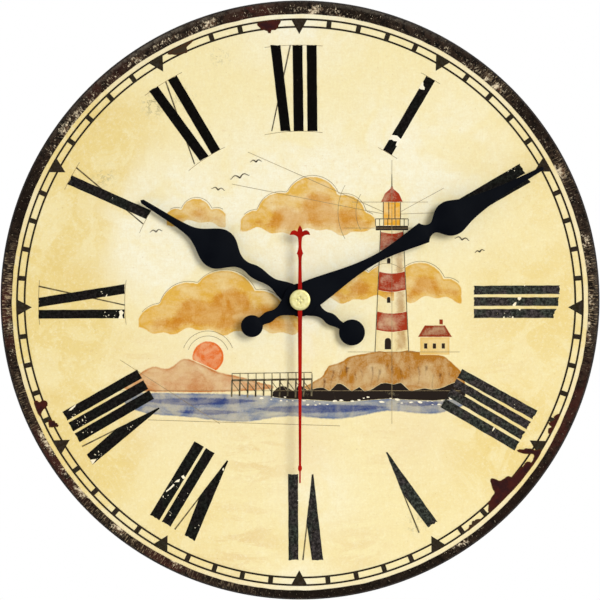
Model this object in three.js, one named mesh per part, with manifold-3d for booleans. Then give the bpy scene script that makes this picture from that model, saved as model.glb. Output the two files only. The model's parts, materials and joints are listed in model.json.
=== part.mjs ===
// Ships clock: a frameless wall clock on a round printed board, with a battery movement behind it.
// Sizes are millimetres. The clock is drawn as seen from the front, x to the right, y up and z out of
// the wall towards the viewer, with the dial axis on x = y = 0 and the wall at z = 0. The last lines
// stand the drawing up, so that +Z is up and the dial faces -Y.
import * as THREE from "three";
import { mergeVertices } from "three/addons/utils/BufferGeometryUtils.js";
import Module from "manifold-3d";

// Board and print
const BOARD_DIAMETER = 300;
const BOARD_THICKNESS = 5;
const BOARD_EDGE_ROUND = 0.8;
const PRINT_THICKNESS = 0.3;

// Where the hands stand, in degrees clockwise from twelve
const HOUR_HAND_ANGLE = 302;
const MINUTE_HAND_ANGLE = 61.5;
const SECOND_HAND_ANGLE = 180;

// Minute hand: a slim blade swelling into a heart, a collar, a waisted shank and a ball tail
const MINUTE_REACH = 138.5;
const MINUTE_TIP_HALF = 0.6;
const MINUTE_HEART_AT = 86.3;
const MINUTE_HEART_HALF = 8.5;
const MINUTE_NECK_ABOVE_COLLAR = 4.7;
const MINUTE_NECK_HALF = 2.4;
const MINUTE_COLLAR_AT = 70.5;
const MINUTE_COLLAR_HALF = 5.1;
const MINUTE_BLADE_SHARE = 0.69;
const MINUTE_FLANK = 23;
const MINUTE_WAIST_AT = 45;
const MINUTE_WAIST_HALF = 1.9;
const MINUTE_TAIL_HALF = 2.8;
const MINUTE_BALL_AT = 27.2;
const MINUTE_BALL_RADIUS = 5.25;

// Hour hand: a slim blade, a wide heart, a beaded shank and a ball tail
const HOUR_REACH = 94;
const HOUR_TIP_HALF = 0.7;
const HOUR_BLADE_HALF = 3;
const HOUR_BLADE_AT = 64;
const HOUR_HEART_AT = 49;
const HOUR_HEART_HALF = 9.5;
const HOUR_NECK_AT = 33.5;
const HOUR_NECK_HALF = 2.3;
const HOUR_BEAD_AT = 26;
const HOUR_BEAD_HALF = 2.85;
const HOUR_FLANK = 45;
const HOUR_WAIST_AT = 17.5;
const HOUR_WAIST_HALF = 2;
const HOUR_TAIL_HALF = 2.4;
const HOUR_BALL_AT = 31.7;
const HOUR_BALL_RADIUS = 6.1;

// Second hand: a fine needle with a bead, and a tail with a pointed bulb and three leaves
const SECOND_REACH = 91.5;
const SECOND_TIP_HALF = 0.4;
const SECOND_BEAD_FROM_TIP = 7.6;
const SECOND_BEAD_HALF = 1;
const SECOND_NEEDLE_HALF = 0.6;
const SECOND_HUB_HALF = 1.1;
const SECOND_BULB_AT = 23;
const SECOND_BULB_HALF = 1.7;
const SECOND_STEM_HALF = 0.8;
const SECOND_LEAF_AT = 32.4;
const SECOND_LEAF_HALF = 5.1;
const SECOND_TAIL_REACH = 37.3;

// Hand plates and their fittings
const HAND_HUB_RADIUS = 9;
const TAIL_NECK_SHARE = 0.68;
const HAND_THICKNESS = 0.6;
const SECOND_HAND_THICKNESS = 0.4;
const COLLET_FLANGE = 0.7;
const COLLET_FLANGE_WIDTH = 1.7;
const COLLET_WALL = 0.9;
const COLLET_RIVET = 0.4;
const HAND_CLEARANCE = 0.3;
const TUBE_END_ABOVE_COLLET = 0.4;
const SECOND_TUBE_LENGTH = 0.8;
const SECOND_TUBE_WALL = 0.7;
const CAP_RADIUS = 5.2;
const CAP_HEIGHT = 1.2;
const CAP_EDGE = 0.5;

// Nested spindle: arbor inside tube inside tube inside the fixed bush
const ARBOR_RADIUS = 0.5;
const MINUTE_TUBE_RADIUS = 1.6;
const HOUR_TUBE_RADIUS = 2.6;
const BUSH_RADIUS = 4;
const BUSH_FLANGE_WIDTH = 2;
const BUSH_FLANGE = 1.5;
const BUSH_END_ABOVE_NUT = 0.8;
const RUNNING_GAP = 0.15;
const PRESS_GAP = 0.1;
const SEAT_GAP = 0.3;

// Fixing through the board
const GASKET_WIDTH = 5.7;
const GASKET_THICKNESS = 0.5;
const WASHER_WIDTH = 3.8;
const WASHER_THICKNESS = 0.5;
const NUT_ACROSS_FLATS = 13;
const NUT_HEIGHT = 2.2;

// Wheel teeth, as shares of the module or of the tooth pitch
const TOOTH_ADDENDUM = 0.9;
const TOOTH_DEDENDUM = 1.2;
const TOOTH_ROOT_SHARE = 0.56;
const TOOTH_TIP_SHARE = 0.22;

// Going train, from the rotor down to the centre wheel
const PINION_TEETH = 8;
const INTERMEDIATE_TEETH = 48;
const SECONDS_TEETH = 40;
const THIRD_TEETH = 60;
const CENTRE_TEETH = 64;
const ROTOR_MODULE = 0.3;
const SECONDS_MODULE = 0.43;
const THIRD_MODULE = 0.3;
const INTERMEDIATE_BEARING = 45;
const ROTOR_BEARING = 25;
const THIRD_BEARING = 135;

// Motion work, from the cannon pinion to the hour wheel, and the setting pinion
const CANNON_TEETH = 12;
const MINUTE_WHEEL_TEETH = 36;
const MINUTE_PINION_TEETH = 10;
const HOUR_WHEEL_TEETH = 40;
const CANNON_MODULE = 0.5;
const MINUTE_WHEEL_BEARING = 180;
const SETTING_BEARING = 120;

// Layers of the train and their arbors
const WHEEL_THICKNESS = 0.8;
const LAYER_GAP = 0.6;
const PINION_OVERHANG = 0.2;
const END_PLAY = 0.2;
const WHEEL_ARBOR_RADIUS = 0.7;
const PIVOT_RADIUS = 0.4;
const PIVOT_DEPTH = 0.8;
const CLUTCH_FLANGE_RADIUS = 3;
const CLUTCH_FLANGE = 0.4;
const CLUTCH_SPRING_HEIGHT = 0.4;
const CLUTCH_SPRING_STOCK = 0.2;
const MINUTE_POST_RADIUS = 1;
const POST_SHOULDER = 1;

// Motor
const MAGNET_RADIUS = 3;
const MAGNET_LENGTH = 2.6;
const STATOR_THICKNESS = 1.4;
const STATOR_AIR_GAP = 0.5;
const STATOR_POLE_WIDTH = 2.3;
const STATOR_POLE_SPLIT = 0.8;
const STATOR_BAR = 3;
const STATOR_ARM = 2.6;
const STATOR_LEG = 1.3;
const STATOR_LEG_GAP = 0.2;
const COIL_LENGTH = 15;
const BOBBIN_FLANGE = 7;
const BOBBIN_FLANGE_THICKNESS = 0.8;
const BOBBIN_WALL = 0.6;
const WINDING_INSET = 0.4;

// Circuit board and what sits on it
const CIRCUIT_THICKNESS = 1;
const CRYSTAL_RADIUS = 1;
const CRYSTAL_LENGTH = 6;
const CRYSTAL_FROM_LEFT = 12;
const CHIP_RADIUS = 2.6;
const CHIP_HEIGHT = 1;
const CHIP_FROM_LEFT = 23;

// Battery and its contacts
const BATTERY_DIAMETER = 14;
const BATTERY_LENGTH = 48.6;
const BATTERY_EDGE = 0.6;
const NUB_RADIUS = 2.7;
const NUB_LENGTH = 1.4;
const BATTERY_RECESS = 0.8;
const BATTERY_CLEARANCE = 0.3;
const CONTACT_THICKNESS = 0.3;
const CONTACT_WIDTH = 5.8;
const CONTACT_TAB = 3;
const CONTACT_TAB_HEIGHT = 4;
const CONTACT_ROOM = 1.2;
const CONTACT_TOUCH_GAP = 0.15;

// Setting knob
const KNOB_RADIUS = 5;
const KNOB_HEIGHT = 2.2;
const KNOB_RECESS = 0.5;
const KNOB_FLUTES = 18;
const KNOB_FLUTE_DEPTH = 0.35;
const KNOB_CLEARANCE = 0.5;
const KNOB_CUP_WALL = 0.8;
const SETTING_ARBOR_RADIUS = 1.2;
const SETTING_PIVOT_RADIUS = 0.8;

// Case, cover and middle plate
const CASE_SIDE_WALL = 1.8;
const CASE_FRONT_WALL = 1.5;
const CASE_CORNER = 3;
const PARTITION = 1;
const ROOM_CLEARANCE = 0.5;
const COVER_THICKNESS = 1.5;
const BEARING_BOSS_HEIGHT = 1;
const BEARING_BOSS_WALL = 1.1;
const BEARING_DEPTH = 1.8;
const CLIP_WIDTH = 6;
const CLIP_LENGTH = 6;
const CLIP_THICKNESS = 1;
const CLIP_HOOK = 0.5;
const CLIP_HOOK_LENGTH = 1.2;
const CLIP_GAP = 0.15;
const CLIP_FROM_ENDS = 8;
const PLATE_THICKNESS = 1;
const PLATE_POST_RADIUS = 1.9;
const POST_SINK = 0.3;
const PLATE_PEG_RADIUS = 0.8;
const PLATE_PEG_HEIGHT = 0.5;
const LOOP_THICKNESS = 3;
const LOOP_REAR = 2;
const LOOP_WALL = 3.4;
const KEYHOLE_RADIUS = 4.6;
const KEYHOLE_SLOT_HALF = 2.2;
const KEYHOLE_SLOT_RISE = 6;
const KEYHOLE_ABOVE_CASE = 1.5;

// Fineness of round faces: the board, the round pieces, and small pins
const BOARD_SIDES = 96;
const ROUND_SIDES = 24;
const PIN_SIDES = 12;
const CORNER_STEPS = 4;
const LOOP_STEPS = 8;
const CURVE_STEPS = 5;

// How far a cut runs past the faces it opens, and a joined piece runs into its neighbour
const OVERRUN = 0.5;

const degrees = THREE.MathUtils.degToRad;
const blend = THREE.MathUtils.lerp;

// Solids, joins and cuts
const wasm = await Module();
wasm.setup();
const MERGE_DISTANCE = 1e-5;

function solidOf(geometry) {
  const bare = geometry.clone();
  bare.deleteAttribute("normal");
  bare.deleteAttribute("uv");
  const merged = mergeVertices(bare, MERGE_DISTANCE);
  const corners = merged.index.array;
  const triangles = [];
  for (let i = 0; i < corners.length; i += 3) {
    const [a, b, c] = corners.slice(i, i + 3);
    if (a !== b && b !== c && c !== a) {
      triangles.push(a, b, c);
    }
  }
  return new wasm.Manifold(new wasm.Mesh({
    numProp: 3,
    vertProperties: new Float32Array(merged.attributes.position.array),
    triVerts: new Uint32Array(triangles),
  }));
}

function geometryOf(solid) {
  const mesh = solid.getMesh();
  const geometry = new THREE.BufferGeometry();
  geometry.setAttribute("position", new THREE.BufferAttribute(mesh.vertProperties, 3));
  geometry.setIndex(new THREE.BufferAttribute(mesh.triVerts, 1));
  return geometry;
}

function join(first, ...others) {
  return geometryOf(others.reduce((sum, other) => sum.add(solidOf(other)), solidOf(first)));
}

function cut(body, ...tools) {
  return geometryOf(tools.reduce((rest, tool) => rest.subtract(solidOf(tool)), solidOf(body)));
}

// Basic shapes
function prism(shape, back, front, curveSegments = ROUND_SIDES / 2) {
  const options = { depth: front - back, bevelEnabled: false, curveSegments };
  return new THREE.ExtrudeGeometry(shape, options).translate(0, 0, back);
}

function block(left, right, low, high, back, front) {
  const box = new THREE.BoxGeometry(right - left, high - low, front - back);
  return box.translate((left + right) / 2, (low + high) / 2, (back + front) / 2);
}

// Turns a list of [radius, depth] corners about the dial axis. A list that starts off the axis is a ring
function turned(corners, sides = ROUND_SIDES) {
  const points = corners.map(([radius, depth]) => new THREE.Vector2(radius, depth));
  if (corners[0][0] > 0) {
    points.push(points[0].clone());
  }
  return new THREE.LatheGeometry(points, sides).rotateX(Math.PI / 2);
}

function disc(radius, back, front, sides = ROUND_SIDES) {
  return turned([[0, back], [radius, back], [radius, front], [0, front]], sides);
}

function ring(inner, outer, back, front, sides = ROUND_SIDES) {
  return turned([[inner, back], [outer, back], [outer, front], [inner, front]], sides);
}

function at(place, geometry) {
  return geometry.translate(place.x, place.y, 0);
}

function polar(from, distance, bearing) {
  const angle = degrees(bearing);
  return new THREE.Vector2(from.x + distance * Math.cos(angle), from.y + distance * Math.sin(angle));
}

function circlePath(radius) {
  return new THREE.Path().absarc(0, 0, radius, 0, 2 * Math.PI, true);
}

function roundedRectangle(left, right, low, high, corner) {
  const shape = new THREE.Shape();
  shape.moveTo(left + corner, low);
  shape.lineTo(right - corner, low);
  shape.absarc(right - corner, low + corner, corner, -Math.PI / 2, 0);
  shape.lineTo(right, high - corner);
  shape.absarc(right - corner, high - corner, corner, 0, Math.PI / 2);
  shape.lineTo(left + corner, high);
  shape.absarc(left + corner, high - corner, corner, Math.PI / 2, Math.PI);
  shape.lineTo(left, low + corner);
  shape.absarc(left + corner, low + corner, corner, Math.PI, 1.5 * Math.PI);
  return shape;
}

// Wheels: straight-flanked teeth, a tooth centred on the direction of phase
function toothTip(teeth, module) {
  return module * (teeth / 2 + TOOTH_ADDENDUM);
}

function gear(teeth, module, phase, back, front) {
  const tip = toothTip(teeth, module);
  const root = module * (teeth / 2 - TOOTH_DEDENDUM);
  const half = Math.PI / teeth;
  const points = [];
  for (let tooth = 0; tooth < teeth; tooth += 1) {
    const middle = phase + 2 * half * tooth;
    const flank = [
      [root, -half * TOOTH_ROOT_SHARE],
      [tip, -half * TOOTH_TIP_SHARE],
      [tip, half * TOOTH_TIP_SHARE],
      [root, half * TOOTH_ROOT_SHARE],
    ];
    for (const [radius, turn] of flank) {
      const angle = middle + turn;
      points.push(new THREE.Vector2(radius * Math.cos(angle), radius * Math.sin(angle)));
    }
  }
  return prism(new THREE.Shape(points), back, front);
}

function centreDistance(teethA, teethB, module) {
  return module * (teethA + teethB) / 2;
}

// The phase that puts a gap of the second wheel on a tooth of the first, along the line of centres
function meshPhase(firstTeeth, firstPhase, secondTeeth, bearing) {
  const line = degrees(bearing);
  const carried = (line - firstPhase) * firstTeeth / secondTeeth;
  return line + Math.PI - Math.PI / secondTeeth + carried;
}

// Places of the arbors, seen from the front
const dialAxis = new THREE.Vector2(0, 0);
const secondsDistance = centreDistance(PINION_TEETH, SECONDS_TEETH, SECONDS_MODULE);
const rotorDistance = centreDistance(PINION_TEETH, INTERMEDIATE_TEETH, ROTOR_MODULE);
const thirdDistance = centreDistance(PINION_TEETH, THIRD_TEETH, THIRD_MODULE);
const centreModule = 2 * thirdDistance / (PINION_TEETH + CENTRE_TEETH);
const motionDistance = centreDistance(CANNON_TEETH, MINUTE_WHEEL_TEETH, CANNON_MODULE);
const hourModule = 2 * motionDistance / (MINUTE_PINION_TEETH + HOUR_WHEEL_TEETH);
const intermediateAxis = polar(dialAxis, secondsDistance, INTERMEDIATE_BEARING);
const rotorAxis = polar(intermediateAxis, rotorDistance, ROTOR_BEARING);
const thirdAxis = polar(dialAxis, thirdDistance, THIRD_BEARING);
const minuteWheelAxis = polar(dialAxis, motionDistance, MINUTE_WHEEL_BEARING);
const settingAxis = polar(minuteWheelAxis, motionDistance, SETTING_BEARING);

// Depths from the wall to the front of the train
const bearingFace = COVER_THICKNESS + BEARING_BOSS_HEIGHT;
const layerPitch = WHEEL_THICKNESS + LAYER_GAP;
const secondsLayer = bearingFace + END_PLAY + PINION_OVERHANG;
const intermediateLayer = secondsLayer + layerPitch;
const thirdLayer = intermediateLayer + layerPitch;
const clutchBack = thirdLayer + WHEEL_THICKNESS + PINION_OVERHANG + END_PLAY;
const clutchFront = clutchBack + CLUTCH_FLANGE;
const centreLayer = clutchFront + CLUTCH_SPRING_HEIGHT + 2 * PRESS_GAP;
const plateBack = centreLayer + WHEEL_THICKNESS + LAYER_GAP;
const plateFront = plateBack + PLATE_THICKNESS;
const minuteLayer = plateFront + LAYER_GAP;
const hourLayer = minuteLayer + layerPitch;
const trainFront = hourLayer + WHEEL_THICKNESS + PINION_OVERHANG + END_PLAY;

// Depths from the case's front wall to the cap
const batteryFront = BATTERY_RECESS + BATTERY_DIAMETER + BATTERY_CLEARANCE;
const frontWallBack = Math.max(trainFront + BUSH_FLANGE, batteryFront);
const frontWallFront = frontWallBack + CASE_FRONT_WALL;
const boardBack = frontWallFront + GASKET_THICKNESS;
const boardFront = boardBack + BOARD_THICKNESS;
const printFront = boardFront + PRINT_THICKNESS;
const washerFront = printFront + WASHER_THICKNESS;
const nutFront = washerFront + NUT_HEIGHT;
const bushEnd = nutFront + BUSH_END_ABOVE_NUT;
const hourColletBack = bushEnd + HAND_CLEARANCE;
const hourHandBack = hourColletBack + COLLET_FLANGE;
const hourColletFront = hourHandBack + HAND_THICKNESS + COLLET_RIVET;
const hourTubeEnd = hourColletFront + TUBE_END_ABOVE_COLLET;
const minuteColletBack = hourTubeEnd + HAND_CLEARANCE;
const minuteHandBack = minuteColletBack + COLLET_FLANGE;
const minuteColletFront = minuteHandBack + HAND_THICKNESS + COLLET_RIVET;
const minuteTubeEnd = minuteColletFront + TUBE_END_ABOVE_COLLET;
const secondTubeBack = minuteTubeEnd + HAND_CLEARANCE;
const secondHandBack = secondTubeBack + SECOND_TUBE_LENGTH;
const capBack = secondHandBack + SECOND_HAND_THICKNESS;

// Bores of the nested spindle
const minuteTubeBore = ARBOR_RADIUS + RUNNING_GAP;
const hourTubeBore = MINUTE_TUBE_RADIUS + RUNNING_GAP;
const bushBore = HOUR_TUBE_RADIUS + RUNNING_GAP;
const hubHole = BUSH_RADIUS + SEAT_GAP;

// Widths and heights of the case, from what it holds
const cupInner = KNOB_RADIUS + KNOB_CLEARANCE;
const cupOuter = cupInner + KNOB_CUP_WALL;
const poleRadius = MAGNET_RADIUS + STATOR_AIR_GAP + STATOR_POLE_WIDTH;
const armInner = COIL_LENGTH / 2 + SEAT_GAP;
const armOuter = armInner + STATOR_ARM;
const trainHalf = Math.max(
  cupOuter - settingAxis.x,
  rotorAxis.x + armOuter,
  toothTip(MINUTE_WHEEL_TEETH, CANNON_MODULE) - minuteWheelAxis.x,
) + CONTACT_THICKNESS + ROOM_CLEARANCE;
const cellHalf = (BATTERY_LENGTH + NUB_LENGTH) / 2;
const roomHalf = Math.max(cellHalf + CONTACT_ROOM, trainHalf);
const caseHalf = roomHalf + CASE_SIDE_WALL;
const roomLow = -Math.max(
  toothTip(HOUR_WHEEL_TEETH, hourModule),
  toothTip(SECONDS_TEETH, SECONDS_MODULE),
  toothTip(CENTRE_TEETH, centreModule),
  toothTip(MINUTE_WHEEL_TEETH, CANNON_MODULE) - minuteWheelAxis.y,
) - ROOM_CLEARANCE;
const partitionLow = roomLow - PARTITION;
const cellY = partitionLow - BATTERY_CLEARANCE - BATTERY_DIAMETER / 2;
const cellZ = BATTERY_RECESS + BATTERY_DIAMETER / 2;
const bayLow = cellY - BATTERY_DIAMETER / 2 - BATTERY_CLEARANCE;
const caseLow = bayLow - CASE_SIDE_WALL;
const plateHigh = Math.max(
  thirdAxis.y + toothTip(THIRD_TEETH, THIRD_MODULE),
  rotorAxis.y + poleRadius,
  settingAxis.y + cupOuter,
) + ROOM_CLEARANCE;
const coilY = plateHigh + ROOM_CLEARANCE + BOBBIN_FLANGE / 2;
const roomHigh = coilY + BOBBIN_FLANGE / 2 + 2 * ROOM_CLEARANCE;
const caseHigh = roomHigh + CASE_SIDE_WALL;

// Motor depths, from the rotor pinion forward
const magnetBack = intermediateLayer + WHEEL_THICKNESS + LAYER_GAP;
const statorBack = magnetBack + (MAGNET_LENGTH - STATOR_THICKNESS) / 2;
const statorFront = statorBack + STATOR_THICKNESS;
const coilZ = (statorBack + statorFront) / 2;
const circuitFront = coilZ - BOBBIN_FLANGE / 2 - PRESS_GAP;
const circuitBack = circuitFront - CIRCUIT_THICKNESS;

// Finishes
function finish(color, roughness, metalness) {
  return new THREE.MeshStandardMaterial({ color, roughness, metalness, flatShading: true });
}
const boardFinish = finish(0x6a5138, 0.85, 0);
const printFinish = finish(0xf0dca4, 0.8, 0);
const blackHandFinish = finish(0x0a0c12, 0.45, 0.3);
const redHandFinish = finish(0xbb1a10, 0.5, 0.1);
const brassFinish = finish(0xd8c27e, 0.3, 0.9);
const steelFinish = finish(0xb4b6b8, 0.35, 0.9);
const blackPlasticFinish = finish(0x17181a, 0.55, 0);
const whitePlasticFinish = finish(0xe6e3d8, 0.5, 0);
const rubberFinish = finish(0x1c1c1c, 0.9, 0);
const ironFinish = finish(0x6d6f72, 0.5, 0.8);
const magnetFinish = finish(0x3a3b40, 0.6, 0.3);
const copperFinish = finish(0xb5642c, 0.35, 0.8);
const circuitFinish = finish(0x2f6b3c, 0.6, 0);
const resinFinish = finish(0x101012, 0.4, 0);
const batteryFinish = finish(0x51616b, 0.35, 0.4);

// The drawing, seen from the front, stood up against the wall
const clock = new THREE.Group();
clock.rotation.x = Math.PI / 2;

function add(name, geometry, material, parent = clock) {
  const mesh = new THREE.Mesh(geometry, material);
  mesh.name = name;
  parent.add(mesh);
  return mesh;
}

// Dial board with rounded edges, and the printed sheet on its front face
function roundedBoard(radius, back, front, hole, round) {
  const side = new THREE.Path();
  side.moveTo(hole, back);
  side.lineTo(radius - round, back);
  side.absarc(radius - round, back + round, round, -Math.PI / 2, 0);
  side.absarc(radius - round, front - round, round, 0, Math.PI / 2);
  side.lineTo(hole, front);
  const corners = side.getPoints(1).map((point) => [point.x, point.y]);
  return turned(corners, BOARD_SIDES);
}
const boardRadius = BOARD_DIAMETER / 2;
const printRadius = boardRadius - BOARD_EDGE_ROUND;
const board = roundedBoard(boardRadius, boardBack, boardFront, hubHole, BOARD_EDGE_ROUND);
add("dial_board", board, boardFinish);
add("dial_print", ring(hubHole, printRadius, boardFront, printFront, BOARD_SIDES), printFinish);

// Fixing through the board: gasket, bush with its inner flange, washer and nut
function hexNut() {
  const corner = NUT_ACROSS_FLATS / Math.sqrt(3);
  const corners = [];
  for (let i = 0; i < 6; i += 1) {
    const angle = i * Math.PI / 3;
    corners.push(new THREE.Vector2(corner * Math.cos(angle), corner * Math.sin(angle)));
  }
  const hexagon = new THREE.Shape(corners);
  hexagon.holes.push(circlePath(BUSH_RADIUS + PRESS_GAP));
  return prism(hexagon, washerFront, nutFront);
}
const bushFlangeRadius = BUSH_RADIUS + BUSH_FLANGE_WIDTH;
const bushSide = [
  [bushBore, frontWallBack - BUSH_FLANGE],
  [bushFlangeRadius, frontWallBack - BUSH_FLANGE],
  [bushFlangeRadius, frontWallBack],
  [BUSH_RADIUS, frontWallBack],
  [BUSH_RADIUS, bushEnd],
  [bushBore, bushEnd],
];
add("gasket", ring(hubHole, hubHole + GASKET_WIDTH, frontWallFront, boardBack), rubberFinish);
add("threaded_bush", turned(bushSide), brassFinish);
add("dial_washer", ring(hubHole, hubHole + WASHER_WIDTH, printFront, washerFront), brassFinish);
add("dial_nut", hexNut(), brassFinish);

// Movement case: a tray open at the back, with the battery bay below and the hanging loop on top
const settingBossBack = minuteLayer + WHEEL_THICKNESS + PINION_OVERHANG + SEAT_GAP;
const postX = roomHalf - PLATE_POST_RADIUS + POST_SINK;
const postLow = roomLow + PLATE_POST_RADIUS - POST_SINK;
const postPlaces = [
  new THREE.Vector2(-postX, postLow),
  new THREE.Vector2(postX, postLow),
  new THREE.Vector2(-postX, plateHigh - PLATE_POST_RADIUS),
  new THREE.Vector2(postX, plateHigh - PLATE_POST_RADIUS),
];
const clipPlaces = [partitionLow + CLIP_FROM_ENDS, caseHigh - CLIP_FROM_ENDS];
const clipEnd = COVER_THICKNESS + CLIP_LENGTH;
const stripFront = circuitFront + CONTACT_WIDTH;

function hangingLoop() {
  const holeY = caseHigh + KEYHOLE_ABOVE_CASE + KEYHOLE_RADIUS;
  const slotTop = holeY + KEYHOLE_SLOT_RISE;
  const half = KEYHOLE_RADIUS + LOOP_WALL;
  const shape = new THREE.Shape();
  shape.moveTo(-half, caseHigh - OVERRUN);
  shape.lineTo(half, caseHigh - OVERRUN);
  shape.lineTo(half, holeY);
  shape.quadraticCurveTo(half, slotTop + LOOP_WALL, 0, slotTop + LOOP_WALL);
  shape.quadraticCurveTo(-half, slotTop + LOOP_WALL, -half, holeY);
  const slotTurn = Math.asin(KEYHOLE_SLOT_HALF / KEYHOLE_RADIUS);
  const keyhole = new THREE.Path();
  keyhole.absarc(0, holeY, KEYHOLE_RADIUS, Math.PI / 2 + slotTurn, 2.5 * Math.PI - slotTurn);
  keyhole.absarc(0, slotTop - KEYHOLE_SLOT_HALF, KEYHOLE_SLOT_HALF, 0, Math.PI);
  shape.holes.push(keyhole);
  return prism(shape, LOOP_REAR, LOOP_REAR + LOOP_THICKNESS, LOOP_STEPS);
}

function clipChannels() {
  const tools = [];
  for (const side of [-1, 1]) {
    for (const place of clipPlaces) {
      const half = CLIP_WIDTH / 2 + CLIP_GAP;
      const floor = caseHalf - CLIP_THICKNESS - CLIP_GAP;
      const pocket = floor - CLIP_HOOK - CLIP_GAP;
      const outside = caseHalf + OVERRUN;
      const channel = [side * floor, side * outside].sort((a, b) => a - b);
      const notch = [side * pocket, side * outside].sort((a, b) => a - b);
      const low = place - half;
      const high = place + half;
      const notchBack = clipEnd - CLIP_HOOK_LENGTH - CLIP_GAP;
      tools.push(block(...channel, low, high, 0, clipEnd + CLIP_GAP));
      tools.push(block(...notch, low, high, notchBack, clipEnd + CLIP_GAP));
    }
  }
  return tools;
}

function movementCase() {
  const outline = roundedRectangle(-caseHalf, caseHalf, caseLow, caseHigh, CASE_CORNER);
  const stripIn = roomHalf - CONTACT_THICKNESS - SEAT_GAP;
  const slotDepths = [circuitFront - SEAT_GAP, stripFront + SEAT_GAP];
  const slotHeights = [partitionLow - OVERRUN, roomLow + OVERRUN];
  const wide = caseHalf + OVERRUN;
  const tray = cut(
    prism(outline, 0, frontWallFront, CORNER_STEPS),
    block(-wide, wide, partitionLow, caseHigh + OVERRUN, -OVERRUN, COVER_THICKNESS),
    block(-roomHalf, roomHalf, roomLow, roomHigh, 0, frontWallBack),
    block(-roomHalf, roomHalf, bayLow, partitionLow, -OVERRUN, frontWallBack),
    block(stripIn, roomHalf, ...slotHeights, ...slotDepths),
    block(-roomHalf, -stripIn, ...slotHeights, ...slotDepths),
    disc(BUSH_RADIUS + PRESS_GAP, frontWallBack - OVERRUN, frontWallFront + OVERRUN),
    ...clipChannels(),
  );
  const wallIn = frontWallBack + OVERRUN;
  const pieces = [hangingLoop()];
  pieces.push(at(minuteWheelAxis, disc(MINUTE_POST_RADIUS, minuteLayer - END_PLAY, wallIn, PIN_SIDES)));
  const shoulderRadius = MINUTE_POST_RADIUS + POST_SHOULDER;
  pieces.push(at(minuteWheelAxis, disc(shoulderRadius, trainFront, wallIn, PIN_SIDES)));
  const pivotBore = SETTING_PIVOT_RADIUS + RUNNING_GAP;
  const settingBoss = disc(pivotBore + BEARING_BOSS_WALL, settingBossBack, wallIn, PIN_SIDES);
  pieces.push(at(settingAxis, settingBoss));
  for (const place of postPlaces) {
    pieces.push(at(place, disc(PLATE_POST_RADIUS, plateFront, wallIn, PIN_SIDES)));
    pieces.push(at(place, disc(PLATE_PEG_RADIUS, plateBack - PLATE_PEG_HEIGHT, wallIn, PIN_SIDES)));
  }
  const ribBack = coilZ + BOBBIN_FLANGE / 2 + PRESS_GAP;
  for (const side of [-1, 1]) {
    const ribX = rotorAxis.x + side * (COIL_LENGTH - BOBBIN_FLANGE_THICKNESS) / 2;
    const half = BOBBIN_FLANGE_THICKNESS / 2;
    pieces.push(block(ribX - half, ribX + half, coilY - half, coilY + half, ribBack, wallIn));
  }
  const pivotHole = disc(pivotBore, settingBossBack - OVERRUN, frontWallBack, PIN_SIDES);
  return cut(join(tray, ...pieces), at(settingAxis, pivotHole));
}
add("movement_case", movementCase(), blackPlasticFinish);

// Back cover: a flat lid with bearing bosses, a cup for the knob and four hooked clips
function backCover() {
  const below = partitionLow - CASE_CORNER;
  const outline = roundedRectangle(-caseHalf, caseHalf, below, caseHigh, CASE_CORNER);
  const low = partitionLow + SEAT_GAP;
  const wide = caseHalf + OVERRUN;
  const lid = cut(
    prism(outline, 0, COVER_THICKNESS, CORNER_STEPS),
    block(-wide, wide, low - 2 * CASE_CORNER, low, -OVERRUN, COVER_THICKNESS + OVERRUN),
  );
  const cupFloor = KNOB_RECESS + KNOB_HEIGHT + KNOB_CLEARANCE;
  const cupFront = cupFloor + KNOB_CUP_WALL;
  const solids = [at(settingAxis, disc(cupOuter, 0, cupFront))];
  const holes = [
    at(settingAxis, disc(cupInner, -OVERRUN, cupFloor)),
    at(settingAxis, disc(SETTING_ARBOR_RADIUS + RUNNING_GAP, 0, cupFront + OVERRUN, PIN_SIDES)),
  ];
  const bearings = [
    [dialAxis, ARBOR_RADIUS],
    [intermediateAxis, PIVOT_RADIUS],
    [rotorAxis, PIVOT_RADIUS],
    [thirdAxis, PIVOT_RADIUS],
  ];
  for (const [place, radius] of bearings) {
    const bore = radius + RUNNING_GAP;
    const floor = bearingFace - BEARING_DEPTH;
    solids.push(at(place, disc(bore + BEARING_BOSS_WALL, 0, bearingFace, PIN_SIDES)));
    holes.push(at(place, disc(bore, floor, bearingFace + OVERRUN, PIN_SIDES)));
  }
  for (const side of [-1, 1]) {
    for (const place of clipPlaces) {
      const half = CLIP_WIDTH / 2;
      const outer = side * caseHalf;
      const inner = side * (caseHalf - CLIP_THICKNESS);
      const hook = side * (caseHalf - CLIP_THICKNESS - CLIP_HOOK);
      const arm = [inner, outer].sort((a, b) => a - b);
      const barb = [hook, outer].sort((a, b) => a - b);
      solids.push(block(...arm, place - half, place + half, 0, clipEnd));
      solids.push(block(...barb, place - half, place + half, clipEnd - CLIP_HOOK_LENGTH, clipEnd));
    }
  }
  return cut(join(lid, ...solids), ...holes);
}
add("back_cover", backCover(), blackPlasticFinish);

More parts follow.
